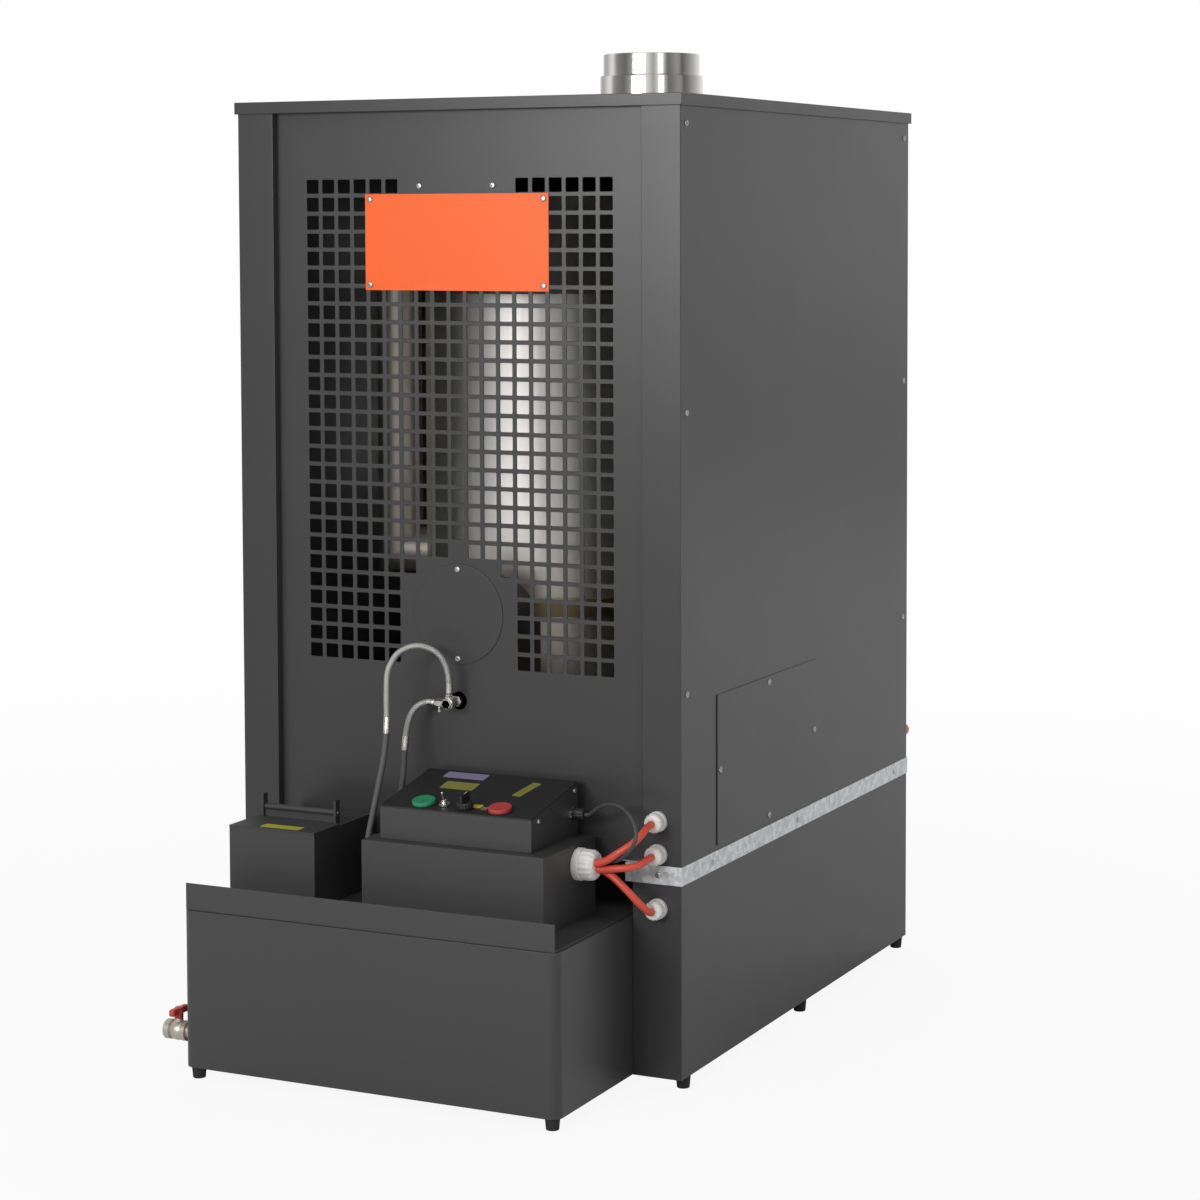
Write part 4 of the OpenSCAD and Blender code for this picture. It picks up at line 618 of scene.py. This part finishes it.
def turned(name, profile, placed, material, sides=48, flutes=0, depth=0.0, body="heater"):
    """Solid of revolution from (radius, height) points in mm; flutes cut its side."""
    mesh = bmesh.new()
    rings = []
    for radius, level in profile:
        if radius < 1e-6:
            rings.append([mesh.verts.new((0, 0, level / 1000))])
            continue
        ring = []
        for k in range(sides):
            a = 2 * pi * k / sides
            r = radius - (depth * (0.5 - 0.5 * cos(flutes * a)) if flutes else 0)
            ring.append(mesh.verts.new((r * cos(a) / 1000, r * sin(a) / 1000, level / 1000)))
        rings.append(ring)
    for low, high in zip(rings, rings[1:]):
        if len(low) == len(high):
            bridge(mesh, low, high)
            continue
        for k in range(sides):
            n = (k + 1) % sides
            mesh.faces.new((low[0], high[n], high[k]) if len(low) == 1 else (low[k], low[n], high[0]))
    for ring, order in ((rings[0], -1), (rings[-1], 1)):
        if len(ring) > 1:
            mesh.faces.new(ring[::order])
    for face in mesh.faces:
        face.smooth = True
    mesh.transform(placed)
    bmesh.ops.recalc_face_normals(mesh, faces=mesh.faces)
    return as_piece(name, mesh, material, body=body, crisp=38, even=True)


def block(name, size, placed, material, rounding, body="heater"):
    """Bar with rounded edges, size and edge radius in mm."""
    mesh = bmesh.new()
    bmesh.ops.create_cube(mesh, size=0.001)
    mesh.transform(Matrix.Diagonal((*size, 1)))
    bmesh.ops.bevel(mesh, geom=mesh.edges[:], offset=rounding / 1000, segments=3, profile=0.5, affect="EDGES")
    for face in mesh.faces:
        face.smooth = True
    mesh.transform(placed)
    return as_piece(name, mesh, material, body=body, even=True)


def joined(name, pieces):
    """One object from several that ride on the same body."""
    body = pieces[0]["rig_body"]
    mesh = bmesh.new()
    materials = []
    for piece in pieces:
        known = len(mesh.faces)
        mesh.from_mesh(piece.data)
        mesh.faces.ensure_lookup_table()
        for face in mesh.faces[known:]:
            face.material_index += len(materials)
        materials += list(piece.data.materials)
        bpy.data.objects.remove(piece)
    return as_piece(name, mesh, *materials, body=body, even=True)


def plastic(name, tone, rough=0.3, bump=0.00002):
    """Moulded plastic with a fine spark-eroded texture."""
    return finish(name, [c * 0.93 for c in tone], tone, (0.012, 3), (rough, 0.1), bump, (0.0007, 2))


green_plastic = plastic("green_plastic", (44, 156, 108), 0.28)
red_plastic = plastic("red_plastic", (206, 74, 68), 0.28)
black_plastic = plastic("black_plastic", (32, 32, 33), 0.4, 0.00004)
white_mark = plastic("white_mark", (226, 226, 220), 0.4)

cap_profile = [(0, -6), (12.2, -6), (12.7, -5.5), (12.7, 3.1), (12.4, 3.95), (11.6, 4.45), (11.0, 4.42),
               (8.0, 3.9), (4.0, 3.65), (0, 3.6)]
for body, x, material in (("start_button", -button_x, green_plastic), ("stop_button", button_x, red_plastic)):
    cap = turned(body + "_cap", cap_profile, on_desk(x, button_v), material, body=body)
    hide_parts(body)
    "green_plastic" if x < 0 else "red_plastic"

button_bush = [(13.0, -9.9), (14.4, -9.9), (14.4, 0), (14.8, 0.05), (15.0, 0.35), (14.9, 0.8), (14.5, 1.0),
               (13.4, 1.0), (13.0, 0.8), (13.0, -9.9)]
knob_bush = [(3.1, -6), (5, -6), (5, 0), (6.9, 0.05), (7, 0.7), (6.7, 1), (3.4, 1), (3.1, 0.8), (3.1, -6)]
toggle_bush = [(2.8, -8), (3.4, -8), (3.4, 0.1), (5.6, 0.1), (6.0, 0.6), (6.0, 2.5), (5.3, 3.0), (3.4, 3.0),
               (3.4, 3.4), (3.5, 3.8), (3.3, 4.2), (3.5, 4.6), (3.3, 5.0), (3.4, 5.7), (3.0, 6.0), (2.8, 5.8),
               (2.8, -8)]
bush_set = joined("panel_bush_rings", [
    turned("bush", profile, on_desk(x, v), material) for profile, x, v, material in (
        (button_bush, -button_x, button_v, black_plastic), (button_bush, button_x, button_v, black_plastic),
        (knob_bush, knob_x, knob_v, black_plastic), (toggle_bush, toggle_x, toggle_v, nickel))])
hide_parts("panel_bushes")

knob = joined("pointer_knob", [
    turned("knob", [(3, -5.9), (3, 1.4), (8.4, 1.4), (9.0, 2.0), (8.8, 6.4), (8.2, 7.6), (7.4, 8.0), (0, 8.1)],
           on_desk(knob_x, knob_v), black_plastic, 72, 18, 0.5, "selector_knob"),
    block("wing", (4.0, 17.6, 8.6), on_desk(knob_x, knob_v, 11.6), black_plastic, 1.2, "selector_knob"),
    block("line", (0.9, 7.0, 0.5), on_desk(knob_x, knob_v + 4, 15.75), white_mark, 0.15, "selector_knob")])
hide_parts("selector_knob")
lever = turned("toggle_bat", [
    (0, -2.35), (1.5, -1.8), (2.25, -0.7), (2.35, 0.2), (1.9, 1.4), (1.1, 2.0), (0.95, 4.0), (1.35, 10.2),
    (1.25, 11.4), (0.8, 11.9), (0, 12.0)],
    on_desk(toggle_x, toggle_v, 4.5) @ Matrix.Rotation(radians(12), 4, "X"), nickel, 32, body="toggle_lever")
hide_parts("toggle_lever")

# Cable glands
# White nylon glands: a round foot against the sheet, a ribbed barrel and a domed cap
# that closes on the cable. Dark ones hold the sensor wire and the mains cable, and a dark
# housing beside the latter carries the reset button.
white_nylon = plastic("white_nylon", (253, 252, 248), 0.34, 0.00003)
to_right, to_front = Matrix.Rotation(radians(90), 4, "Y"), Matrix.Rotation(radians(90), 4, "X")
to_left, to_back = to_right.inverted(), to_front.inverted()
rear_y = 0.6935


def at(x, y, z, facing=Matrix()):
    """Placement in metres, with y counted back from the post faces."""
    return Matrix.Translation((x, front + y, z)) @ facing


def gland(name, r, length, placed, material):
    """Round foot, ribbed clamping nut and dome; r and length in mm."""
    foot = length * 0.3
    flange = turned("foot", [(r, 0), (r * 1.04, 0.2), (r * 1.05, 0.8), (r * 1.05, foot - 0.7),
                             (r * 1.02, foot), (r * 0.9, foot)], placed, material, 64)
    nut = turned("nut", [(r * 0.92, foot - 0.5), (r * 0.99, foot + 0.4), (r, foot + 1.0), (r, length * 0.72),
                         (r * 0.97, length * 0.8), (r * 0.93, length * 0.86), (r * 0.84, length * 0.95),
                         (r * 0.72, length * 0.995), (r * 0.55, length), (r * 0.5, length)],
                 placed, material, 96, 16, r * 0.045)
    return joined(name, [flange, nut])


big = gland("large_gland_nut", 16.5, 24, at(0.171, -0.046, 0.2455, to_right), white_nylon)
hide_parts("large_gland")
small = joined("small_gland_nuts", [gland("small", 10.5, 16, at(0.243, 0, z, to_front), white_nylon)
                                    for z in (0.195, 0.253, 0.288)])
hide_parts("small_glands")
wire_exit, reset_place = at(desk_high.x, -0.022, 0.293, to_right), at(0.257, 0.695, 0.272, to_back)
dark = joined("dark_gland_nuts", [
    turned("wire_nut", [(0, 0), (6.2, 0), (6.9, 0.6), (6.9, 4.4), (6.2, 5.0), (0, 5.0)], wire_exit, nickel, 6),
    turned("wire_gland", [(0, 4.8), (6.4, 5.0), (7, 5.7), (7, 11), (6.6, 11.5), (6.4, 14), (5.8, 16.8),
                          (4.6, 18), (0, 18)], wire_exit, black_plastic, 96, 14, 0.4),
    turned("mains_gland", [(5.0, 0.2), (11.2, 0.2), (11.5, 0.9), (11.5, 6.6), (11.2, 7.1), (11, 7.4), (11, 18),
                           (10.4, 20.5), (9, 23), (7, 24), (5.4, 24), (5.05, 23.4), (5.0, 0.2)],
           at(0.180, rear_y, 0.281, to_back), black_plastic, 96, 12, 0.5),
    turned("reset_housing", [(3.3, 1.0), (3.3, 9.4), (3.7, 10), (8.2, 10), (9.0, 9.2), (9.0, 0.4), (8.6, 0),
                             (4.6, 0), (3.3, 1.0)], reset_place, black_plastic)])
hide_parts("black_glands")
reset = turned("reset_cap", [(0, 6), (3.0, 6), (3.0, 14), (7.4, 14), (8.0, 14.6), (8.0, 23.6), (7.4, 24.7),
                             (6.4, 25), (0, 24.6)], reset_place, red_plastic, body="reset_button")
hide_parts("reset_button")

# Fuel fitting
# A nickel-plated banjo block in the front panel takes both hoses and leads a pipe through
# the burner housing to the bowl; a nipple and an elbow serve the other hose ends.
fit_y, feed_end, elbow_y = -0.012, front + 0.229, front - 0.040
fit_up, fit_back, fit_left = (at(0, fit_y, fitting_z, facing) for facing in (Matrix(), to_back, to_left))
fittings = [turned(name, profile, placed, nickel, sides) for name, sides, placed, profile in (
    ("barrel", 48, fit_back, [(0, -8.0), (5.0, -8.0), (5.6, -7.4), (5.6, -5.2), (6.5, -4.8), (6.5, 4.8),
                              (5.6, 5.2), (5.6, 9.4), (4.0, 10.0)]),
    ("head", 6, fit_back, [(0, -8.0), (5.2, -8.0), (6.3, -7.2), (6.3, -5.0), (0, -5.0)]),
    ("panel_nut", 6, fit_back, [(4.0, 14.0), (5.4, 14.0), (6.5, 14.8), (6.5, 20.6), (5.7, 21.2), (5.7, 26.0),
                                (4.0, 26.0)]),
    ("side_nut", 6, fit_left, [(0, 6.0), (4.2, 6.0), (5.0, 6.8), (5.0, 14.2), (4.4, 15.0), (3.9, 15.4),
                               (3.9, 17.0), (0, 17.0)]),
    ("side_arm", 32, fit_left, [(0, 0), (4.2, 0), (4.2, 6.5), (0, 6.5)]),
    ("top_nut", 6, fit_up, [(0, 0), (4.2, 0), (4.2, 3.4), (5.0, 4.0), (5.0, 7.6), (4.4, 8.2), (3.9, 8.6),
                            (3.9, 10.0), (0, 10.0)]),
    ("bleed_stem", 24, at(-0.012, fit_y, fitting_z), [
        (0, -10), (1.7, -10), (2, -9.6), (2, -7.6), (1.3, -7.2), (1.3, -6), (2, -5.6), (2, 0), (0, 0)]),
    ("tray_nipple", 36, at(-0.058, -0.092, 0.1855), [
        (0, 0), (6.4, 0), (7, 0.6), (7, 2.6), (6.6, 3), (4.5, 3.2), (4.5, 9.6), (4, 10.5), (0, 10.5)]))]
feed_bend = ((front + fit_y + 0.009, 0), (feed_end - 0.012, 0), (feed_end - 0.006, -0.0015),
             (feed_end - 0.0018, -0.0055), (feed_end, -0.012), (feed_end, -0.060))
elbow_bend = ((-0.056, 0.206), (-0.056, 0.2015), (-0.0552, 0.1995), (-0.053, 0.1985), (-0.020, 0.1985))
for name, path in (("feed_pipe", [(0, y, fitting_z + drop) for y, drop in feed_bend]),
                   ("delivery_elbow", [(x, elbow_y, z) for x, z in elbow_bend])):
    pipe = tube(name, path, 0.004, nickel, sides=24)
    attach(pipe, "heater")
    fittings.append(pipe)
fittings = joined("nickel_fittings", fittings)
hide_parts("hose_fittings")

# Drain valve
# A nickel-plated ball valve on the tank's left side, with a red wing handle on its stem.
# The outlet is an open bore with a collar.
valve_y, valve_z, stem_x, handle_z = -0.155, 0.045, -0.258, 0.0583
valve_place, handle_place = at(-0.273, valve_y, valve_z, to_right), at(stem_x, valve_y, handle_z)
valve_metal, look = new_look("valve_metal")
cast = grain(look, 0.0015, 3)
surface(look, base_color=tint(look, grain(look, 0.01, 3), (186, 180, 168), (214, 209, 198)), metallic=0.75,
        roughness=0.34 + cast * 0.14, normal=relief(look, cast, 0.00008))
drain = joined("drain_valve_body", [
    turned("outlet", [(6.5, 12), (6.5, 0.6), (7.1, 0), (9.9, 0), (10.8, 0.9), (10.8, 7.2), (9.9, 8.0),
                      (8.6, 8.3), (8.6, 12), (6.5, 12)], valve_place, valve_metal),
    turned("ball_house", [(6.0, 8.2), (9.0, 8.4), (10.4, 11), (11.0, 15), (10.6, 19.5), (9.4, 21.6),
                          (9.2, 22.2), (11.0, 22.4), (11.0, 27.6), (10.2, 28), (8.0, 28), (8.0, 37.2), (0, 37.2)],
           valve_place, valve_metal),
    turned("stem_boss", [(3.05, 7.5), (5.0, 7.5), (5.0, 12.4), (4.6, 13), (3.4, 13), (3.05, 12.6), (3.05, 7.5)],
           at(stem_x, valve_y, valve_z), valve_metal, 36)])
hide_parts("drain_valve")
handle = joined("drain_handle", [
    block("wing", (7.0, 30.0, 8.0), handle_place @ Matrix.Translation((0, 0, 0.0078)), red_plastic, 2.2,
          "drain_lever"),
    turned("hub", [(0, -5.8), (3, -5.8), (3, 0), (4.9, 0), (5.0, 0.5), (5.0, 9.5), (4.4, 11.4), (3.4, 12),
                   (0, 12)], handle_place, red_plastic, 36, body="drain_lever")])
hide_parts("drain_lever")

# Flue stub and lid collar
# Thin polished stainless tube for a 120 mm flue pipe, with a crimped collar, a rolled
# bead above it and a sealing plate on the lid.
polished, look = new_look("polished_stainless")
lines = grain(look, 1.0, 3, (60, 60, 900))
smear = grain(look, 0.06, 3)
surface(look, base_color=tint(look, smear, (196, 194, 190), (226, 225, 222)), metallic=1.0,
        roughness=0.05 + lines * 0.06 + smear * 0.04, normal=relief(look, lines, 0.00001))
flue_stub = turned("flue_stub", [
    (57, 946), (59, 946), (59, 1052.2), (73.6, 1052.2), (74.6, 1052.4), (75, 1053), (74.4, 1053.4),
    (64.2, 1053.5), (63.2, 1054.2), (63, 1056), (63, 1062), (62.2, 1063), (62.2, 1066), (63, 1067),
    (63, 1094.4), (62.4, 1096.4), (61, 1097), (59.3, 1097), (59, 1098), (59, 1121.6), (58.6, 1122.8),
    (58, 1123), (57.3, 1122.6), (57, 1121.6), (57, 946)], at(0, 0.515, 0), polished, 120)
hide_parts("flue_spigot")

# Burner, chamber and smoke ways
# Behind the grille a polished stainless chamber stands on a burner housing of the same
# sheet, under a smoke drum. Four mitred tubes carry the gas up round it. Heat has browned
# the flange between chamber and housing. Over the rest of the height the steel's colour is
# a painted highlight, lighter towards the bottom and darker at the top.
ramp_low, ramp_span = 0.30, 0.54
chamber_steel, look = new_look("chamber_steel")
place = look.make("ShaderNodeTexCoord", out="Object")
height = look.make("ShaderNodeSeparateXYZ", {}, {0: place}, out=2)
# colour by height: the brown stops at the flange are heat tint; the other stops are painted highlight, lighter
# low down and darker at the top
stops = [(level, shade(colour)) for level, colour in (
    (0.0, (252, 248, 238)), (0.33, (244, 238, 226)), (0.336, (134, 118, 88)), (0.37, (156, 140, 110)),
    (0.375, (222, 217, 207)), (0.53, (236, 234, 230)), (1.0, (190, 188, 184)))]
heat_tint_and_painted_highlight = look.make("ShaderNodeValToRGB", {"stops": stops}, {0: (height - ramp_low) / ramp_span})
brushed = grain(look, 1.0, 3, (700, 700, 24))
surface(look, base_color=heat_tint_and_painted_highlight, metallic=1.0, roughness=0.3 + brushed * 0.12 + grain(look, 0.05, 3) * 0.08,
        normal=relief(look, brushed, 0.00003))
scaled_steel = finish("scaled_steel", (84, 82, 78), (128, 124, 116), (0.03, 6), (0.5, 0.2), 0.00008,
                      (0.003, 4), metallic=0.7)
tube_steel = finish("tube_steel", (136, 133, 124), (172, 168, 158), (0.02, 4, (1, 1, 0.1)), (0.44, 0.12),
                    0.00004, (0.002, 3), metallic=0.85)
sooted_iron = finish("sooted_iron", (26, 25, 24), (58, 54, 50), (0.02, 6), (0.75, 0.15), 0.0002, (0.002, 4),
                     metallic=0.3)
for node, width, material in (
        ("combustion_chamber", 0.0006, chamber_steel), ("burner_housing", 0.0006, chamber_steel),
        ("smoke_drum", 0.0006, scaled_steel), ("port_duct", 0.0006, scaled_steel),
        ("flame_ring", 0.0005, scaled_steel), ("burner_bowl", 0.0012, sooted_iron)):
    pressed(node, width, material)
for place in frame["nodes"]["smoke_tubes"].material_slots:
    place.material = tube_steel

# Fan, guard and motor
# At the back a five-blade aluminium fan blows over the chamber. A basket of welded round
# wire guards it and carries the motor, whose ribbed cast housing sits in the middle.
fan_y, fan_z, guard_y, wall_y = 0.680, 0.745, front + 0.766, front + rear_y
blades, hub_radius, tip_radius, chord, camber, half_sheet = 5, 0.044, 0.1965, 0.086, 0.008, 0.0009
long_steps, wide_steps = 16, 12
black_wire = finish("black_wire", (34, 34, 35), (48, 48, 49), (0.01, 3), (0.36, 0.12), 0.00004, (0.0012, 2))


def wire_ring(radius, y):
    turns = [2 * pi * k / 96 for k in range(96)]
    return tube("ring", [(radius * cos(a), y, fan_z + radius * sin(a)) for a in turns], 0.0015, black_wire,
                sides=10, closed=True)


wires = [wire_ring(0.056 + 0.0267 * k, guard_y - 0.0018) for k in range(1, 7)]
wires += [wire_ring(0.2444, y) for y in (wall_y + 0.0016, wall_y + 0.036, guard_y - 0.0062)]
spoke_bend = [(0.050, guard_y - 0.0046), (0.200, guard_y - 0.0046), (0.232, guard_y - 0.0050),
              (0.2385, guard_y - 0.0075), (0.2414, guard_y - 0.013), (0.2416, wall_y + 0.030),
              (0.2416, wall_y + 0.0016)]
for k in range(16):
    spin = Matrix.Translation((0, 0, fan_z)) @ Matrix.Rotation(2 * pi * k / 16, 4, "Y")
    spoke = [spin @ Vector((x, y, 0)) for x, y in spoke_bend]
    wires.append(tube("spoke", spoke, 0.0014, black_wire, sides=10))
for wire in wires:
    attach(wire, "heater")
wires.append(turned("guard_plate", [(0, 0.3), (54.6, 0.3), (56, 1.2), (56, 2.2), (55, 3.0), (44, 3.0),
                                    (41, 2.2), (0, 2.2)], at(0, 0.763, fan_z, to_back), black_wire, 72))
guard = joined("wire_guard", wires)
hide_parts("fan_guard")

cast_dark, look = new_look("cast_dark")
sand = grain(look, 0.0014, 3)
surface(look, base_color=tint(look, grain(look, 0.03, 3), (44, 44, 46), (62, 62, 64)), metallic=0.3,
        roughness=0.5 + sand * 0.15, normal=relief(look, sand, 0.0001))
motor = turned("fan_motor_housing", [
    (5.05, 20), (5.05, 0.4), (5.6, 0), (20, 0), (21, 1.0), (36, 2.4), (46, 3.4), (50, 6.0), (50, 33), (49, 36),
    (45, 39.6), (40, 41), (40, 42), (0, 42)], at(0, 0.721, fan_z, to_back), cast_dark, 192, 32, 2.4)
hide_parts("fan_motor")

pressed_aluminium = finish("pressed_aluminium", (158, 160, 162), (196, 198, 199), (0.02, 4, (1, 6, 1)),
                           (0.36, 0.14), 0.00004, metallic=0.9)


def blade_rows():
    """Points of one blade from hub to tip: its sheet is pitched, cambered and round at the tip."""
    rows = []
    for i in range(long_steps + 1):
        t = i / long_steps
        r = hub_radius + (tip_radius - hub_radius) * t
        grow = 0.78 + 0.22 * sin(pi * min(1.0, t * 1.25) / 2)
        tip = 1.0 if t < 0.82 else (1 - ((t - 0.82) / 0.18) ** 2 * 0.42)
        pitch = radians(38 - 8 * t)
        row = []
        for j in range(wide_steps + 1):
            c = (j / wide_steps - 0.5) * chord * grow * tip
            bulge = camber * (1 - (2 * j / wide_steps - 1) ** 2)
            a = (c * cos(pitch) + bulge * sin(pitch)) / max(r, 0.07)
            row.append((r * cos(a), c * sin(pitch) - bulge * cos(pitch), r * sin(a)))
        rows.append(row)
    return rows


def fan_blade(turn):
    """Two skins 1.8 mm apart, closed by a strip along their border."""
    mesh = bmesh.new()
    skins = [[[mesh.verts.new(turn @ Vector((x, y + side, z))) for x, y, z in row] for row in blade_rows()]
             for side in (-half_sheet, half_sheet)]
    for order, skin in zip((-1, 1), skins):
        for low, high in zip(skin, skin[1:]):
            for k in range(wide_steps):
                mesh.faces.new((low[k], low[k + 1], high[k + 1], high[k])[::order])
    under, over = skins
    border = ([(0, j) for j in range(wide_steps + 1)] + [(i, wide_steps) for i in range(1, long_steps + 1)]
              + [(long_steps, j) for j in range(wide_steps - 1, -1, -1)]
              + [(i, 0) for i in range(long_steps - 1, 0, -1)])
    bridge(mesh, [under[i][j] for i, j in border], [over[i][j] for i, j in border])
    bmesh.ops.recalc_face_normals(mesh, faces=mesh.faces)
    for face in mesh.faces:
        face.smooth = True
    return as_piece("blade", mesh, pressed_aluminium, body="fan_blades", crisp=50)


hub = turned("hub", [
    (0, -24.5), (40, -24.5), (45, -22.5), (46, -19), (46, 22), (44.5, 24.8), (42, 25), (40, 24), (8, 18),
    (7.4, 25), (5, 25), (5, 59), (0, 59)], at(0, fan_y, fan_z, to_back), pressed_aluminium, 96, body="fan_blades")
wheel = joined("fan_wheel", [hub] + [
    fan_blade(at(0, fan_y, fan_z, Matrix.Rotation(2 * pi * k / blades, 4, "Y"))) for k in range(blades)])
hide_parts("fan_blades")

# Blower, pump and electrics under the covers
# The blower feeds air to the housing through a duct; the gear pump and its motor sit in
# the pump box. Cast, galvanised and brass parts as bought in.
circuit, look = new_look("circuit_board")
place = look.make("ShaderNodeTexCoord", out="Object")
tracks = look.make("ShaderNodeTexBrick", {}, {"Vector": place, "Scale": 190.0, "Mortar Size": 0.08}, out="Fac")
surface(look, base_color=tint(look, tracks, (22, 84, 52), (60, 130, 84)), roughness=0.35 + tracks * 0.1)
brass = finish("gear_brass", (176, 148, 86), (206, 180, 116), (0.004, 3), (0.28, 0.14), metallic=1.0)
for node, width, material, body in (
        ("blower_casing", 0.0008, zinc, "heater"), ("pump_motor", 0.0008, zinc, "heater"),
        ("blower_motor", 0.0012, cast_dark, "heater"), ("fuel_pump_body", 0.0012, cast_dark, "heater"),
        ("drive_gear", 0.0002, brass, "drive_gear"), ("driven_gear", 0.0002, brass, "driven_gear"),
        ("blower_impeller", 0.0003, pressed_aluminium, "blower_impeller"),
        ("suction_pipe", 0.0005, zinc, "heater"), ("filler_strainer", 0.0003, polished, "heater"),
        ("control_board", 0.0003, circuit, "heater")):
    pressed(node, width, material, body)

# Feet, screws and rivets
# Black rubber feet carry cabinet and tank. Pan-head screws with a cross recess hold the
# panels, and blind rivets the deck edge.
foot_shape = [(0, 0.4), (2.2, 0.4), (2.6, 0), (6.4, 0), (6.9, 0.6), (7.9, 11.6), (8.0, 13), (0, 13)]
cab_side, tank_left, tank_right = 0.262, -0.225, 0.201
foot_rubber = finish("foot_rubber", (24, 24, 24), (44, 43, 42), (0.006, 4), (0.66, 0.14), 0.0001)
foot_spots = [(s * cab_side, y) for s in (-1, 1) for y in (0.022, 0.3535, 0.680)]
foot_spots += [(x, y) for x in (tank_left, tank_right) for y in (-0.166, 0.370)]
feet = joined("rubber_feet", [turned("foot", foot_shape, at(x, y, 0), foot_rubber, 40) for x, y in foot_spots])
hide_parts("feet")

# radius and height of a head in mm, and whether it has a cross recess
pan_head, small_head, rivet_head = (3.5, 1.8, True), (3.0, 1.8, True), (3.2, 1.2, False)


def screw_heads(name, spots):
    """Domed heads, each standing on its placement along Z and turned as the driver left it."""
    mesh = bmesh.new()
    for placed, (radius, high, crossed) in spots:
        spin = Matrix.Rotation((placed.translation.x * 37 + placed.translation.z * 91) % 1.57, 4, "Z")
        fit = placed @ spin

        def ring(r, h):
            turns = [radians(15 * k - 15) for k in range(24)]
            return [mesh.verts.new(fit @ Vector((r * cos(a) / 1000, r * sin(a) / 1000, h / 1000)))
                    for a in turns]

        rims = [ring(radius * wide, high * tall)
                for wide, tall in ((1, 0), (1, 0.3), (0.94, 0.62), (0.8, 0.88), (0.6, 1))]
        for low, top in zip(rims, rims[1:]):
            for face in bridge(mesh, low, top):
                face.smooth = True
        mesh.faces.new(rims[0][::-1])
        if not crossed:
            mesh.faces.new(rims[-1]).smooth = True
            continue
        arm, wide = radius * 0.46, radius * 0.1
        recess = []
        for k in range(4):
            turn = Matrix.Rotation(pi / 2 * k, 4, "Z")
            recess += [turn @ Vector(spot) for spot in ((arm, -wide, 0), (arm, wide, 0), (wide, wide, 0))]
        top = [mesh.verts.new(fit @ (p / 1000 + Vector((0, 0, high / 1000)))) for p in recess]
        deep = [mesh.verts.new(fit @ (p / 1100 + Vector((0, 0, high * 0.45 / 1000)))) for p in recess]
        for k in range(12):
            n = (k + 1) % 12
            mesh.faces.new((top[k], rims[-1][2 * k], rims[-1][2 * k + 1], rims[-1][(2 * k + 2) % 24], top[n]))
            mesh.faces.new((top[k], top[n], deep[n], deep[k]))
        mesh.faces.new(deep)
    bmesh.ops.recalc_face_normals(mesh, faces=mesh.faces)
    heads = as_piece(name, mesh, steel_bright, body="heater", crisp=40)
    return heads


spots = []
for z in (0.422, 0.719, 1.0205):
    for y in (0.015, 0.679):
        spots += [(at(0.270, y, z, to_right), pan_head), (at(-0.270, y, z, to_left), pan_head)]
spots += [(at(0.2712, y, z, to_right), pan_head)
          for y, z in ((0.100, 0.328), (0.375, 0.328), (0.2375, 0.253), (0.2375, 0.403))]
on_front = [(s * 0.1065, 0.0088, z) for s in (-1, 1) for z in (0.8505, 0.9435)]
on_front += [(0, 0.0088, port_z + s * 0.049) for s in (-1, 1)]
on_front += [(s * 0.045, 0.010, first_row) for s in (-1, 1)] + [(s * 0.244, -0.001, 0.231) for s in (-1, 1)]
spots += [(at(*place, to_front), pan_head) for place in on_front]
spots += [(at(0.150, y, z, to_right), small_head) for y, z in ((-0.0945, 0.2975), (-0.010, 0.3145))]
screws = screw_heads("cross_screws", spots)
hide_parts("panel_screws")
screw_heads("deck_rivets", [(at(s * 0.271, y, 0.231, to_right if s > 0 else to_left), rivet_head)
                            for s in (-1, 1) for y in (0.080, 0.324, 0.645)])
